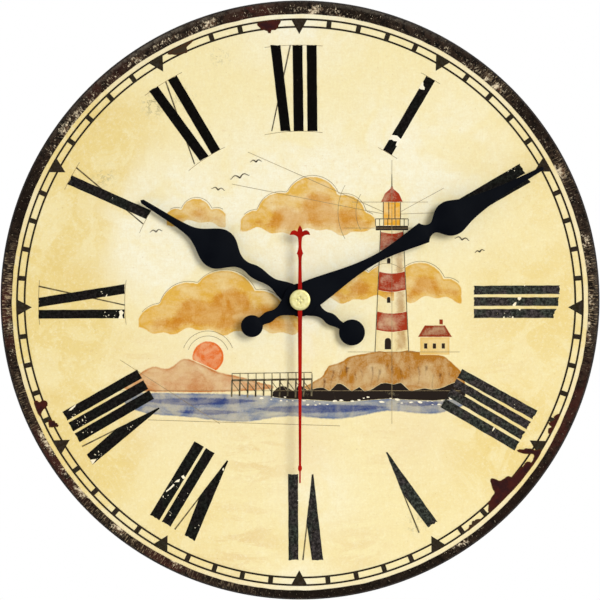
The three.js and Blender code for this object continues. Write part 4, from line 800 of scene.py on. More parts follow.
# Marks round the dial, copied from one mark at twelve by a node tree
def ring_of_marks_tree():
    tree = bpy.data.node_groups.new("ring_of_marks", "GeometryNodeTree")
    for label, kind in (
        ("Mark", "NodeSocketGeometry"),
        ("Count", "NodeSocketInt"),
        ("On the hour", "NodeSocketBool"),
        ("Lean", "NodeSocketFloat"),
        ("Phase", "NodeSocketFloat"),
        ("Centre", "NodeSocketVector"),
        ("Material", "NodeSocketMaterial"),
    ):
        tree.interface.new_socket(name=label, in_out="INPUT", socket_type=kind)
    tree.interface.new_socket(name="Marks", in_out="OUTPUT", socket_type="NodeSocketGeometry")
    recipe = Recipe(tree)
    given = recipe.node("NodeGroupInput").outputs
    points = recipe.node("GeometryNodePoints", {"Count": given["Count"], "Position": given["Centre"]})
    index = recipe.node("GeometryNodeInputIndex").outputs["Index"]
    even = recipe.maths("DIVIDE", recipe.times(index, 2 * math.pi), given["Count"])
    sway = recipe.maths("SINE", recipe.maths("SUBTRACT", even, given["Phase"]))
    turn = recipe.maths("ADD", even, recipe.times(sway, given["Lean"]))
    rotation = recipe.node("ShaderNodeCombineXYZ", {"Y": turn}).outputs["Vector"]
    inputs = {"A": recipe.maths("MODULO", index, MINUTES / HOURS), "B": 0.5}
    hour = recipe.node("FunctionNodeCompare", inputs, operation="LESS_THAN", data_type="FLOAT")
    inputs = {0: hour.outputs["Result"], 1: given["On the hour"]}
    wanted = recipe.node("FunctionNodeBooleanMath", inputs, operation="XNOR")
    copies = recipe.node("GeometryNodeInstanceOnPoints", {
        "Points": points.outputs["Points"],
        "Selection": wanted.outputs["Boolean"],
        "Instance": given["Mark"],
        "Rotation": rotation,
    })
    real = recipe.node("GeometryNodeRealizeInstances", {"Geometry": copies.outputs["Instances"]})
    painted = recipe.node("GeometryNodeSetMaterial", {
        "Geometry": real.outputs["Geometry"],
        "Material": given["Material"],
    })
    recipe.node("NodeGroupOutput", {"Marks": painted.outputs["Geometry"]})
    return tree


RING_OF_MARKS = ring_of_marks_tree()


def grown(name, mesh, tree, inputs):
    """The plain mesh that a node tree makes of a mesh, with its inputs set by name."""
    seed = placed(name, mesh)
    modifier = seed.modifiers.new("grow", "NODES")
    modifier.node_group = tree
    for item in tree.interface.items_tree:
        if item.in_out == "INPUT" and item.name in inputs:
            modifier[item.identifier] = inputs[item.name]
    evaluated = seed.evaluated_get(bpy.context.evaluated_depsgraph_get())
    made = bpy.data.meshes.new_from_object(evaluated)
    seed.modifiers.remove(modifier)
    bpy.data.objects.remove(seed)
    made.name = name
    return made


def minute_marks(name, outline, on_the_hour, ink):
    """Ticks or pointers: one outline at twelve, about the print's centre, copied round the track."""
    points, triangles = fill([outline])
    front = PRINT_FACE + INK_LAYER * FILM_STEP
    mark = slab(name + "_mark", points, triangles, PRINT_FACE - FILM_SINK, front)
    mesh = grown(name, mark, RING_OF_MARKS, {
        "Count": MINUTES,
        "On the hour": on_the_hour,
        "Lean": MARK_LEAN,
        "Phase": MARK_PHASE,
        "Centre": spot(*PRINT_CENTRE, 0),
        "Material": ink,
    })
    keep_values(mesh, "wear", np.full(len(mesh.vertices), MARK_WEAR))
    add_piece(name, mesh, ink, "clock_body", "print")


def minute_track(ink):
    half = TRACK_LINE / 2
    for name, radius in (("track_line_outer", TRACK_OUTER), ("track_line_inner", TRACK_INNER)):
        arc_film(name, radius - half, radius + half, HAIR_LAYER, ink)
    half = TICK_WIDTH / 2
    tick = [(-half, TRACK_INNER), (half, TRACK_INNER), (half, TRACK_OUTER), (-half, TRACK_OUTER)]
    minute_marks("minute_ticks", tick, False, ink)
    half = POINTER_WIDTH / 2
    pointer = [(0, POINTER_APEX), (half, TRACK_OUTER), (-half, TRACK_OUTER)]
    minute_marks("hour_pointers", pointer, True, ink)


# Numerals. A bar and a hair are given by where they cross the ring's outer and inner edge, and a bar also by
# its width and how far its top is cut off slanting; a vee is given by the two sides of its thick leg on the
# outer edge, its apex on the inner one and its thin leg on the outer
BAR = 5.0
NUMERALS = {
    1: [("bar", 0.65, 0.4)],
    2: [("bar", -2.3, -2.15, 5.5), ("bar", 3.5, 3.3, 4.4)],
    3: [("bar", -6.25, -6.05, 4.4), ("bar", -0.3, -0.3, 4.4, 1.0), ("bar", 5.65, 5.65, 4.6, 3.3)],
    4: [("bar", -9.95, -9.15), ("bar", -3.75, -3.9, 4.3), ("bar", 2.05, 1.6, 4.5), ("bar", 8.1, 7.85)],
    5: [("vee", -4.6, 0.8, 0.0, 6.1)],
    6: [("vee", -11.7, -6.0, -6.35, -1.45), ("bar", 3.25, 3.45)],
    7: [("vee", -14.2, -8.3, -8.3, -2.6), ("bar", 2.45, 1.75), ("bar", 9.1, 8.2, 5.4)],
    8: [("vee", -18.5, -12.7, -10.65, -8.0), ("bar", -3.05, -2.85), ("bar", 3.2, 2.9), ("bar", 9.4, 9.05)],
    9: [("bar", -6.05, -5.85, 4.4), ("bar", -0.15, 6.65, 4.8), ("hair", 8.0, -1.45)],
    10: [("bar", -4.6, 0.0), ("hair", 2.35, -5.35)],
    11: [("bar", -10.1, -5.5), ("hair", -2.95, -11.15), ("bar", 0.8, 1.2)],
    12: [("bar", -12.3, -7.2), ("hair", -4.85, -14.15), ("bar", -1.25, -0.65), ("bar", 5.85, 6.25)],
}
# Wear of each numeral, and how far out of the ring it stands
NUMERAL_WEAR = {
    1: 0.16, 2: 0.25, 3: 1.0, 4: 0.9, 5: 0.9, 6: 0.75,
    7: 0.22, 8: 0.18, 9: 0.2, 10: 0.35, 11: 0.06, 12: 0.04,
}
NUMERAL_OUT = {
    1: 1.1, 2: 1.2, 3: 1.4, 4: 1.4, 5: 1.0, 6: 0.4,
    7: 1.1, 8: 1.8, 9: 2.1, 10: 1.9, 11: 0.6, 12: 0.0,
}
# Numerals whose set-out lines still show, and how far these run past the strokes
GUIDED = (1, 9, 10, 11, 12)
GUIDE_OVERRUN = 3.0
GUIDE_LINE = 0.2
GUIDE_STEPS = 8

# How much the top, a flank, the foot and the other flank of a stroke fray, and in how many steps
EDGE_FRAY = ((1, 6), (0.25, 14), (0.5, 5), (0.25, 14))


def frayed(start, end, size, chance, steps):
    """A straight edge broken up by wear, without its last point."""
    line = [start]
    way = Vector(end) - Vector(start)
    side = Vector((way.y, -way.x)).normalized()
    for i in range(1, steps):
        knot = Vector(start) + way * (i + chance.uniform(-0.3, 0.3)) / steps
        line.append(tuple(knot + side * chance.uniform(-1, 0.25) * size))
    return line


def bar_sizes(top, foot, width=BAR, cut=0.0):
    return top, foot, width, cut


def numeral_strokes(hour, chance):
    """Thick outlines and thin lines of one numeral, and how far it reaches either side of its radius."""
    thick, thin, ends = [], [], []
    turn = hour_turn(hour)
    top_at = NUMERAL_TOP + NUMERAL_OUT[hour]
    foot_at = NUMERAL_FOOT + NUMERAL_OUT[hour]
    fray = 0.3 + 0.4 * NUMERAL_WEAR[hour]
    for kind, *sizes in NUMERALS[hour]:
        if kind == "bar":
            top, foot, width, cut = bar_sizes(*sizes)
            half = width / 2
            corners = [
                on_print(turn, top_at - cut, top + half),
                on_print(turn, top_at - cut / 2, top - half),
                on_print(turn, foot_at, foot - half),
                on_print(turn, foot_at, foot + half),
            ]
            ends += [top - half, top + half]
        elif kind == "hair":
            top, foot = sizes
            thin.append([on_print(turn, top_at, top), on_print(turn, foot_at, foot)])
            ends += [top, foot]
            continue
        else:
            left, right, apex, thin_top = sizes
            meet = (thin_top - right) / (thin_top - left)
            radius = top_at + (foot_at - top_at) * meet
            across = right + (apex - left) * meet
            corners = [
                on_print(turn, top_at, right),
                on_print(turn, top_at, left),
                on_print(turn, foot_at, apex - HAIRLINE / 2),
                on_print(turn, foot_at, apex + HAIRLINE / 2),
                on_print(turn, radius, across + HAIRLINE / 2),
            ]
            thin.append([on_print(turn, top_at, thin_top), on_print(turn, radius, across)])
            ends += [left, thin_top]
        outline = []
        for i, (share, steps) in enumerate(EDGE_FRAY):
            outline += frayed(corners[i], corners[(i + 1) % len(corners)], fray * share, chance, steps)
        outline += corners[len(EDGE_FRAY):]
        thick.append(outline)
    return thick, thin, min(ends), max(ends)


def numerals(ink):
    chance = random.Random(21)
    thick, wear, thin, guides = [], [], [], []
    for hour in NUMERALS:
        bars, hairs, low, high = numeral_strokes(hour, chance)
        thick += bars
        wear += [NUMERAL_WEAR[hour]] * len(bars)
        thin += [ribbon(path, HAIRLINE, 0.8) for path in hairs]
        if hour not in GUIDED:
            continue
        for radius in (NUMERAL_TOP, NUMERAL_FOOT):
            span = high - low + 2 * GUIDE_OVERRUN
            steps = [low - GUIDE_OVERRUN + step for step in even_steps(span, GUIDE_STEPS)]
            ring = radius + NUMERAL_OUT[hour]
            bow = [on_print(hour_turn(hour) + math.degrees(across / ring), ring) for across in steps]
            guides.append(ribbon(bow, GUIDE_LINE))
    film("numerals", thick, INK_LAYER, ink, wear=wear)
    film("numeral_hairlines", thin, INK_LAYER - 0.5, PEN_INK)
    film("numeral_guide_lines", guides, PENCIL_LAYER, PENCIL)


# Chips of lost ink with a shape of their own: the numeral, then places across and along its radius
CHIPS = (
    (1, ((-2.1, 122.4), (-0.5, 122.6), (0.8, 123.2), (0.3, 124.3), (-0.8, 124.8), (-1.5, 126.1),
         (-2.1, 126.2))),
    (1, ((-2.2, 95.4), (0.4, 96.5), (2.0, 96.1), (3.1, 95.9), (3.1, 92.0), (2.2, 91.8), (1.8, 94.0),
         (0.2, 93.3), (-0.8, 93.5), (-2.2, 92.5))),
    (3, ((-8.5, 111.9), (-7.9, 112.3), (-8.5, 112.9))),
    (3, ((-2.5, 108.9), (-1.4, 109.0), (-0.9, 109.8), (-1.6, 110.6), (-2.5, 110.8))),
    (3, ((1.9, 106.3), (1.1, 106.5), (0.2, 107.4), (-0.2, 108.3), (0.8, 108.2), (1.9, 107.8))),
    (3, ((3.35, 109.3), (4.0, 109.7), (4.1, 110.2), (3.35, 110.5))),
    (3, ((7.95, 101.5), (7.2, 101.8), (7.1, 102.3), (7.95, 102.5))),
    (3, ((7.95, 105.9), (7.1, 106.2), (7.0, 106.7), (7.95, 106.9))),
    (4, ((5.65, 115.2), (5.65, 116.0), (7.0, 115.9), (8.0, 115.6), (7.0, 115.3))),
    (7, ((9.4, 110.4), (10.2, 113.6), (10.9, 115.4), (10.4, 115.7), (9.2, 113.0), (8.6, 110.6))),
    (7, ((7.8, 106.6), (8.8, 107.8), (9.4, 109.6), (8.6, 108.9), (7.4, 108.2))),
    (7, ((6.0, 104.6), (7.2, 104.0), (7.9, 105.2), (6.8, 105.8), (6.0, 105.6))),
    (7, ((-9.0, 92.4), (-8.2, 92.0), (-8.2, 90.8), (-8.9, 91.4))),
    (8, ((-18.4, 130.4), (-17.6, 128.6), (-17.0, 127.4), (-16.4, 128.8), (-15.8, 130.4))),
    (8, ((11.4, 126.0), (11.9, 122.4), (11.0, 123.6), (10.4, 126.2), (10.9, 127.4))),
    (9, ((-8.3, 88.4), (-6.6, 89.0), (-5.2, 88.2), (-3.8, 89.4), (-4.6, 90.6), (-6.4, 90.2), (-8.3, 91.0))),
)
# Scattered flakes: the numeral, then where across and along its radius, how far they scatter and how many
FLAKES = (
    (2, -4.0, 123.4, 2.0, 9), (3, 6.4, 102.0, 1.6, 5), (4, -8.6, 117.0, 1.0, 4), (4, 8.0, 108.4, 1.2, 3),
    (6, 1.6, 99.8, 1.0, 4), (7, -12.0, 122.4, 2.0, 12), (7, 3.6, 122.8, 1.2, 5), (7, 9.6, 116.0, 2.2, 12),
    (7, 8.6, 107.6, 2.4, 14), (7, -10.4, 96.0, 1.2, 6), (7, 2.0, 112.0, 2.4, 5), (8, -15.6, 124.6, 2.4, 14),
    (8, -3.0, 123.0, 1.8, 8), (8, 3.0, 122.4, 2.2, 14), (8, 9.2, 122.6, 2.4, 16), (8, -11.8, 103.0, 1.4, 7),
    (9, -6.0, 89.4, 2.0, 12), (9, -5.6, 95.0, 1.8, 7), (9, 4.0, 96.0, 1.4, 4), (10, -1.6, 106.0, 0.8, 2),
)


FLAKE_CORNERS = 7


def flake(chance, across, along, hour, size):
    """One angular scrap, drawn out in a direction of its own."""
    lean = chance.uniform(0, math.pi)
    stretch = chance.uniform(1.0, 3.2)
    corners = []
    for i in range(FLAKE_CORNERS):
        turn = 2 * math.pi * (i + chance.uniform(-0.35, 0.35)) / FLAKE_CORNERS
        far = size * chance.uniform(0.35, 1.0)
        x, y = stretch * far * math.cos(turn), far * math.sin(turn)
        corners.append(on_print(
            hour_turn(hour),
            along + x * math.sin(lean) + y * math.cos(lean),
            across + x * math.cos(lean) - y * math.sin(lean),
        ))
    return corners, stretch * size


def ink_flakes():
    chance = random.Random(7)
    shapes = [
        [on_print(hour_turn(hour), along, across) for across, along in corners]
        for hour, corners in CHIPS
    ]
    taken = []
    for shape in shapes:
        middle = tuple(sum(axis) / len(shape) for axis in zip(*shape))
        taken.append((middle, max(math.dist(middle, corner) for corner in shape)))
    for hour, across, along, scatter, count in FLAKES:
        for _ in range(count):
            flake_across = across + chance.uniform(-0.9, 0.9) * scatter
            flake_along = along + NUMERAL_OUT[hour] + chance.uniform(-1.2, 1.2) * scatter
            size = 0.14 + 0.5 * chance.random() ** 3
            corners, reach = flake(chance, flake_across, flake_along, hour, size)
            middle = on_print(hour_turn(hour), flake_along, flake_across)
            if any(math.dist(middle, other) < reach + far for other, far in taken):
                continue
            taken.append((middle, reach))
            shapes.append(corners)
    film("ink_flakes", shapes, CHIP_LAYER, BARE_PAPER)


# Rust stains at the track: clock angle in degrees and depth in millimetres in from the track's outer line
STAINS = (
    ((122.0, -0.4), (122.2, 3.0), (122.6, 5.8), (123.3, 7.6), (124.3, 10.1), (123.8, 5.3), (123.2, 3.1),
     (123.5, 0.9), (124.7, 0.7), (124.9, 2.5), (126.0, 3.1), (128.1, 4.0), (129.5, 4.2), (130.3, 6.6),
     (131.6, 7.1), (132.6, 11.2), (133.4, 9.9), (134.1, 7.4), (134.7, 5.1), (136.6, 4.2), (137.0, 2.6),
     (137.6, -0.4), (129.0, -0.4)),
    ((351.6, -0.3), (351.7, 3.1), (352.3, 4.3), (352.9, 4.6), (353.4, 6.1), (354.1, 5.2), (355.3, 4.1),
     (355.8, 2.3), (355.9, -0.3)),
    ((249.7, -0.4), (249.1, 1.6), (249.2, 4.0), (248.6, 5.3), (247.8, 5.6), (247.6, 3.9), (247.2, 1.9),
     (246.3, -0.4)),
    ((244.9, 2.3), (244.5, 4.2), (243.7, 5.3), (243.0, 6.2), (242.8, 4.9), (243.1, 3.4), (243.4, 1.8),
     (244.1, 1.6)),
    ((332.1, 0.4), (332.6, 2.4), (333.8, 3.1), (334.3, 4.2), (335.6, 4.2), (336.1, 2.1), (337.6, -0.2)),
    ((140.3, -0.3), (140.9, 1.2), (141.6, 1.9), (142.3, 1.3), (142.9, 1.5), (143.5, -0.3)),
    ((113.5, -0.3), (114.3, 2.6), (114.6, 1.2), (115.4, 2.2), (116.0, 3.6), (116.4, 1.0), (117.2, 2.2),
     (117.6, -0.3)),
)
STAIN_LOBES = 0.5


def knobbly(loop, size, seed):
    """The same outline with small lobes of chance size along it."""
    chance = random.Random(seed)
    push = [chance.uniform(-size, size) for _ in loop]
    moved = []
    for i, (u, v) in enumerate(loop):
        after = loop[(i + 1) % len(loop)]
        run = (after[0] - loop[i - 1][0], after[1] - loop[i - 1][1])
        share = (push[i] + push[i - 1]) / 2 / max(math.hypot(*run), 0.01)
        moved.append((u + run[1] * share, v - run[0] * share))
    return moved


def rust_stains():
    outlines = []
    for number, stain in enumerate(STAINS):
        corners = [on_print(turn, TRACK_OUTER - depth) for turn, depth in stain]
        outlines.append(knobbly(smooth_loop(corners, 4), STAIN_LOBES, number))
    film("rust_stains", outlines, CHIP_LAYER, rust_stain(), spacing=0.8)


# The picture: a lighthouse on a headland under golden clouds, in watercolour over pencil
SHORE = -46.0
TOWER_AT = 46.0
TOWER_FOOT = -25.0
TOWER_TOP = 36.0
TOWER_FOOT_HALF = 8.4
TOWER_TOP_HALF = 5.6
GALLERY_HALF = 8.2
GALLERY_LOW = TOWER_TOP - 1.2
GALLERY_HIGH = TOWER_TOP + 1.2
RAIL = GALLERY_HIGH + 3.4
RAIL_POSTS = 9
LANTERN_HALF = 4.3
LANTERN_TOP = 49.0
EAVES = 1.4
ROOF_TOP = 57.0
SUN_AT = (-46.0, -28.5)
SUN_RADIUS = 8.0


class Wash:
    """A watercolour: its pigment and how strong, soft-edged, pooled and brushed it goes on."""

    def __init__(self, pigment, strength, soft, pool, stretch=(1, 1, 1), turn=(0, 0, 0), over=None):
        self.pigment = pigment
        self.strength = strength
        self.soft = soft
        self.pool = pool
        self.stretch = stretch
        self.turn = turn
        self.over = over

    def body(self, finish, where):
        """How much pigment lies inside the wash: blooms, brush marks and the grain of the paper."""
        bloom = finish.noise(where, 15, detail=4, roughness=0.55, distortion=1.2)
        bloom = finish.ramp(bloom, 0.3, 0.72, 0.62, 1.12)
        brush = finish.noise(finish.place(self.stretch, self.turn), 4.5, detail=5, roughness=0.65)
        brush = finish.ramp(brush, 0.3, 0.7, 0.8, 1.1)
        grain = finish.blotches(where, 0.8, (0.3, 0.7, 0.9, 1.06), detail=3, roughness=0.7)
        amount = finish.times(finish.times(bloom, brush), grain)
        return finish.times(amount, self.strength)

    def ground(self, finish, where):
        """What the wash is laid on: bare paper, or another wash."""
        paper = paper_under(finish).outputs["Color"]
        if self.over is None:
            return paper
        return finish.mix(self.over.body(finish, where), paper, self.over.pigment, "MULTIPLY")

    def material(self, name):
        """Multiplies the ground by the pigment, ragged and pooled towards the edge of the film."""
        finish = Finish(name, Roughness=0.68, Specular_IOR_Level=0.08)
        where = finish.place()
        wander = finish.noise(where, 3.2, detail=5, roughness=0.65)
        wander = finish.times(finish.maths("SUBTRACT", wander, 0.5), 1.6 * self.soft)
        depth = finish.maths("ADD", finish.attribute("edge_mm"), wander)
        pooled = finish.times(finish.ramp(depth, 1.8, 0.4), self.pool)
        amount = finish.maths("ADD", self.body(finish, where), pooled)
        amount = finish.times(amount, finish.ramp(depth, 0.0, self.soft), clamp=True)
        colour = finish.mix(amount, self.ground(finish, where), self.pigment, "MULTIPLY")
        return finish.done(colour)


CLOUD_STEP = 0.9


def cloud_outline(lobes, base):
    """A heaped cloud: the tops of its lobes from left to right, closed along a gently waving base."""
    first = min(u - radius for u, v, radius in lobes)
    last = max(u + radius for u, v, radius in lobes)
    count = int((last - first) / CLOUD_STEP)
    top = []
    for i in range(1, count):
        u = first + (last - first) * i / count
        heights = [
            v + math.sqrt(radius ** 2 - (u - at) ** 2)
            for at, v, radius in lobes if abs(u - at) < radius
        ]
        top.append((u, max(heights, default=base + 0.6)))
    lower = [(u, min(base + 1.4 * math.sin(u * 0.21) + 0.8 * math.sin(u * 0.53), v - 0.4)) for u, v in top]
    return lower + top[::-1]


# Lobes of each cloud: middle, height of the middle and radius; then the height of its base
CLOUDS = (
    (((-70, -14, 12), (-56, -6, 15), (-38, -2, 17), (-20, -8, 13), (-8, -14, 9)), -16),
    (((-22, 36, 9), (-10, 42, 12), (6, 48, 14), (22, 42, 11), (32, 37, 7)), 34),
    (((16, 2, 8), (28, 6, 10), (43, 7, 11), (60, 6, 13), (73, 2, 9)), 0),
    (((-62, 40, 6), (-52, 43, 8), (-42, 40, 6)), 38),
)


def clouds():
    gold = Wash((232, 190, 98), 1.0, soft=0.8, pool=0.3, stretch=(0.5, 1, 1.5), turn=(0, 0.4, 0))
    umber = Wash((226, 178, 104), 0.75, soft=4.0, pool=0.0, stretch=(0.4, 1, 1.3), over=gold)
    bodies, shades, contours = [], [], []
    for lobes, base in CLOUDS:
        outline = cloud_outline(lobes, base)
        bodies.append(outline)
        low = [(at + 0.2 * radius, v - 0.16 * radius, radius * 0.72) for at, v, radius in lobes]
        shades.append(cloud_outline(low, base + 0.5))
        top = outline[len(outline) // 2:]
        contours.append(ribbon([(u + 0.3, v + 0.35) for u, v in top[2:-2]], 0.22))
    film("golden_clouds", bodies, WASH_LAYER, gold.material("golden_cloud_wash"), spacing=1.3)
    film("cloud_shades", shades, SHADE_LAYER, umber.material("cloud_shade_wash"), spacing=1.3)
    film("cloud_contours", contours, PENCIL_LAYER, PENCIL)


HEADLAND = (
    (2, -45), (6, -41), (11, -38), (14, -33), (20, -31), (25, -28), (33, -26.5), (42, -25), (54, -25),
    (63, -26.5), (72, -28), (77, -32), (81, -36), (83, -42), (83, -46), (60, -47), (30, -46),
)
FAR_HILLS = (
    (-88, -45), (-82, -38), (-74, -33), (-66, -34), (-58, -29), (-49, -32), (-40, -36), (-30, -38),
    (-20, -41), (-10, -44), (-30, -46), (-60, -46.5),
)
SEA = (
    (-90, -47), (-70, -46), (-40, -46.5), (-14, -47.5), (20, -49.5), (50, -48.5), (80, -47.5), (82, -53),
    (66, -57.5), (44, -56), (20, -60), (-6, -58.5), (-30, -61.5), (-56, -59), (-78, -57), (-88, -52),
)
SWELLS = (
    ((-80, -50), (-50, -48.5), (-20, -50), (-34, -52.5), (-62, -53)),
    ((-24, -54), (10, -52), (44, -53), (30, -56), (-4, -57)),
    ((48, -51.3), (60, -50.5), (78, -51), (66, -53.2), (53, -53.3)),
    ((-66, -55.5), (-44, -54.5), (-28, -56), (-46, -58)),
)


def land_and_sea():
    hill = Wash((202, 130, 78), 0.8, soft=0.8, pool=0.3, stretch=(0.5, 1, 1))
    grass = Wash((184, 128, 50), 1.0, soft=0.6, pool=0.3, stretch=(1, 1, 0.6), turn=(0, 0.7, 0))
    crag = Wash((120, 82, 62), 0.85, soft=1.2, pool=0.1, stretch=(1, 1, 0.4), turn=(0, 0.2, 0), over=grass)
    rock = Wash((34, 28, 32), 1.7, soft=0.4, pool=0.2, stretch=(0.7, 1, 1.2))
    blue = Wash((112, 136, 214), 0.95, soft=1.0, pool=0.2, stretch=(0.18, 1, 1.2))
    deep = Wash((138, 150, 208), 0.9, soft=1.0, pool=0.1, stretch=(0.16, 1, 1.2), over=blue)
    for name, outlines, layer, wash, spacing in (
        ("far_hills", [smooth_loop(FAR_HILLS, 4)], WASH_LAYER + 0.3, hill, 1.2),
        ("sea", [smooth_loop(SEA, 4)], WASH_LAYER, blue, 1.2),
        ("headland", [smooth_loop(HEADLAND, 4)], WASH_LAYER + 0.5, grass, 1.0),
        ("swells", [smooth_loop(swell, 5) for swell in SWELLS], SHADE_LAYER, deep, 0.9),
        ("crags", crags(), SHADE_LAYER + 0.2, crag, 0.6),
        ("rocks", [rocks()], SHADE_LAYER + 0.6, rock, 0.8),
    ):
        film(name, outlines, layer, wash.material(name + "_wash"), spacing)
    foam()


CRAG_STROKES = 17
CRAG_FIRST = 12.0
CRAG_PITCH = 3.9
CRAG_TOP = -30.5
SLOPE_DROP = 7.0
SLOPE_RUN = 36.0


def crags():
    """Brush strokes down the slope of the headland, lower and more slanting away from the tower."""
    chance = random.Random(5)
    strokes = []
    for i in range(CRAG_STROKES):
        u = CRAG_FIRST + CRAG_PITCH * i + chance.uniform(-0.7, 0.7)
        drop = SLOPE_DROP * abs(u - TOWER_AT) / SLOPE_RUN
        v = CRAG_TOP - drop * chance.uniform(0.5, 1.0) - chance.uniform(0, 3)
        fall = chance.uniform(5, 11)
        slant = 0.12 * (u - TOWER_AT) / SLOPE_RUN * fall
        path = [(u + slant * t + 0.5 * math.sin(5 * t + i), v - fall * t) for t in (0, 0.25, 0.5, 0.75, 1)]
        strokes.append(ribbon(path, chance.uniform(1.4, 2.6), 0.35))
    return strokes


ROCKS_START = (-14, -48.6)
ROCK_COUNT = 26
ROCK_PITCH = 3.6
ROCK_LINE = -45.6
ROCK_HEIGHT = 4.6
ROCK_FOOT = [(83, -48), (66, -50.5), (44, -49.5), (24, -51), (4, -50)]


def rocks():
    """Broken dark rocks along the foot of the headland."""
    chance = random.Random(3)
    ridge = [ROCKS_START]
    for i in range(1, ROCK_COUNT + 1):
        u = ROCKS_START[0] + ROCK_PITCH * i + chance.uniform(-0.9, 0.9)
        ridge.append((u, ROCK_LINE + ROCK_HEIGHT * chance.random() ** 1.3))
    return smooth_loop(ridge + ROCK_FOOT, 2)


FOAM_TRIES = 150
FOAM_ENDS = (-22, 80)
FOAM_LINE = SHORE - 3.6
FOAM_APART = 1.7
DAB_CORNERS = 8
DAB_WIDE, DAB_HIGH = 1.6, 0.7


def foam():
    """Broken water at the rocks: small ragged dabs of bare paper."""
    chance = random.Random(12)
    dabs, taken = [], []
    for _ in range(FOAM_TRIES):
        u = chance.uniform(*FOAM_ENDS)
        v = FOAM_LINE - 2.4 * chance.random() ** 1.5 - 1.2 * math.sin(u * 0.13)
        reach = chance.uniform(0.3, 1.0)
        if any(math.dist((u, v), other) < FOAM_APART * (reach + far) for other, far in taken):
            continue
        taken.append(((u, v), reach))
        dab = []
        for i in range(DAB_CORNERS):
            turn = 2 * math.pi * i / DAB_CORNERS
            far = chance.uniform(0.5, 1.1) * reach
            dab.append((u + DAB_WIDE * far * math.cos(turn), v + DAB_HIGH * far * math.sin(turn)))
        dabs.append(dab)
    film("foam", dabs, DETAIL_LAYER, BARE_PAPER)


def tower_half(v):
    share = (v - TOWER_FOOT) / (TOWER_TOP - TOWER_FOOT)
    return TOWER_FOOT_HALF + (TOWER_TOP_HALF - TOWER_FOOT_HALF) * share


def tower_band(low, high, left=-1.0, right=1.0):
    """A belt of the tower between two heights, bowed like a ring seen from below."""
    bow = 1.1
    shares = [left + step for step in even_steps(right - left, 8)]
    under = [(TOWER_AT + share * tower_half(low), low + bow * (share ** 2 - 1)) for share in shares]
    over = [(TOWER_AT + share * tower_half(high), high + bow * (share ** 2 - 1)) for share in shares]
    return under + over[::-1]


def box_outline(left, right, low, high):
    return [(left, low), (right, low), (right, high), (left, high)]


def arched(u, v, half, tall, steps=6):
    """A small window or door with a round head."""
    head = [polar((u, v + tall), half, turn) for turn in even_steps(math.pi, steps)]
    return [(u - half, v), (u + half, v)] + head


def lighthouse():
    plaster = Wash((246, 236, 214), 0.6, soft=0.4, pool=0.25)
    stone = plaster.material("tower_wash")
    dusk = Wash((190, 152, 116), 0.75, soft=2.4, pool=0.0, stretch=(1, 1, 0.3), over=plaster)
    dusk = dusk.material("tower_shade_wash")
    red = Wash((168, 58, 36), 1.0, soft=0.3, pool=0.15, stretch=(0.4, 1, 1.4)).material("tower_belt_wash")
    dark = Wash((40, 32, 34), 1.6, soft=0.2, pool=0.1).material("tower_dark_wash")
    glow = Wash((248, 190, 70), 1.0, soft=0.4, pool=0.1).material("lantern_wash")
    base = WASH_LAYER + 0.8
    film("tower", [tower_band(TOWER_FOOT, TOWER_TOP)], base, stone, spacing=1.0)
    film("tower_shade", [tower_band(TOWER_FOOT, TOWER_TOP, 0.15, 1.0)], SHADE_LAYER + 0.1, dusk, spacing=0.9)
    belts = [tower_band(low, low + 9.5) for low in (-15, 5, 25)]
    film("tower_belts", belts, SHADE_LAYER + 0.4, red, spacing=0.8)
    panes = box_outline(TOWER_AT - LANTERN_HALF, TOWER_AT + LANTERN_HALF, GALLERY_HIGH, LANTERN_TOP)
    film("lantern", [panes], base, glow, spacing=0.8)
    slope = [(3.6, LANTERN_TOP + 4.4), (0.9, ROOF_TOP - 1.2), (0.5, ROOF_TOP)]
    roof = [(TOWER_AT - LANTERN_HALF - EAVES, LANTERN_TOP), (TOWER_AT + LANTERN_HALF + EAVES, LANTERN_TOP)]
    roof += [(TOWER_AT + half, v) for half, v in slope]
    roof += [(TOWER_AT - half, v) for half, v in slope[::-1]]
    film("lantern_roof", [roof], SHADE_LAYER + 0.4, red, spacing=0.7)
    shapes = [box_outline(TOWER_AT - GALLERY_HALF, TOWER_AT + GALLERY_HALF, GALLERY_LOW, GALLERY_HIGH)]
    shapes += [arched(TOWER_AT - 1.6, v, half=0.95, tall=2.2) for v in (-1.5, 18.0)]
    shapes.append(arched(TOWER_AT - 2.0, TOWER_FOOT + 0.2, half=1.7, tall=4.2))
    film("tower_openings", shapes, DETAIL_LAYER, dark, spacing=0.6)
    tower_pen_lines()


def tower_pen_lines():
    """The finial, the gallery's rail and posts, the bars of the lantern and the flanks of the tower."""
    pen = [ribbon([(TOWER_AT, ROOF_TOP - 0.5), (TOWER_AT, ROOF_TOP + 6)], 0.5, 0.5)]
    pen.append(ribbon([(TOWER_AT - GALLERY_HALF, RAIL), (TOWER_AT + GALLERY_HALF, RAIL)], 0.42))
    for step in even_steps(2, RAIL_POSTS - 1):
        u = TOWER_AT + GALLERY_HALF * (step - 1)
        pen.append(ribbon([(u, GALLERY_HIGH), (u, RAIL)], 0.34))
    for share in (-1, -0.36, 0.36, 1):
        u = TOWER_AT + share * LANTERN_HALF
        pen.append(ribbon([(u, RAIL + 0.2), (u, LANTERN_TOP)], 0.4))
    for side in (-1, 1):
        flank = [(TOWER_AT + side * tower_half(v), v) for v in (TOWER_FOOT - 1, TOWER_TOP - 1)]
        pen.append(ribbon(flank, 0.38))
    film("tower_pen_lines", pen, HAIR_LAYER, PEN_INK)


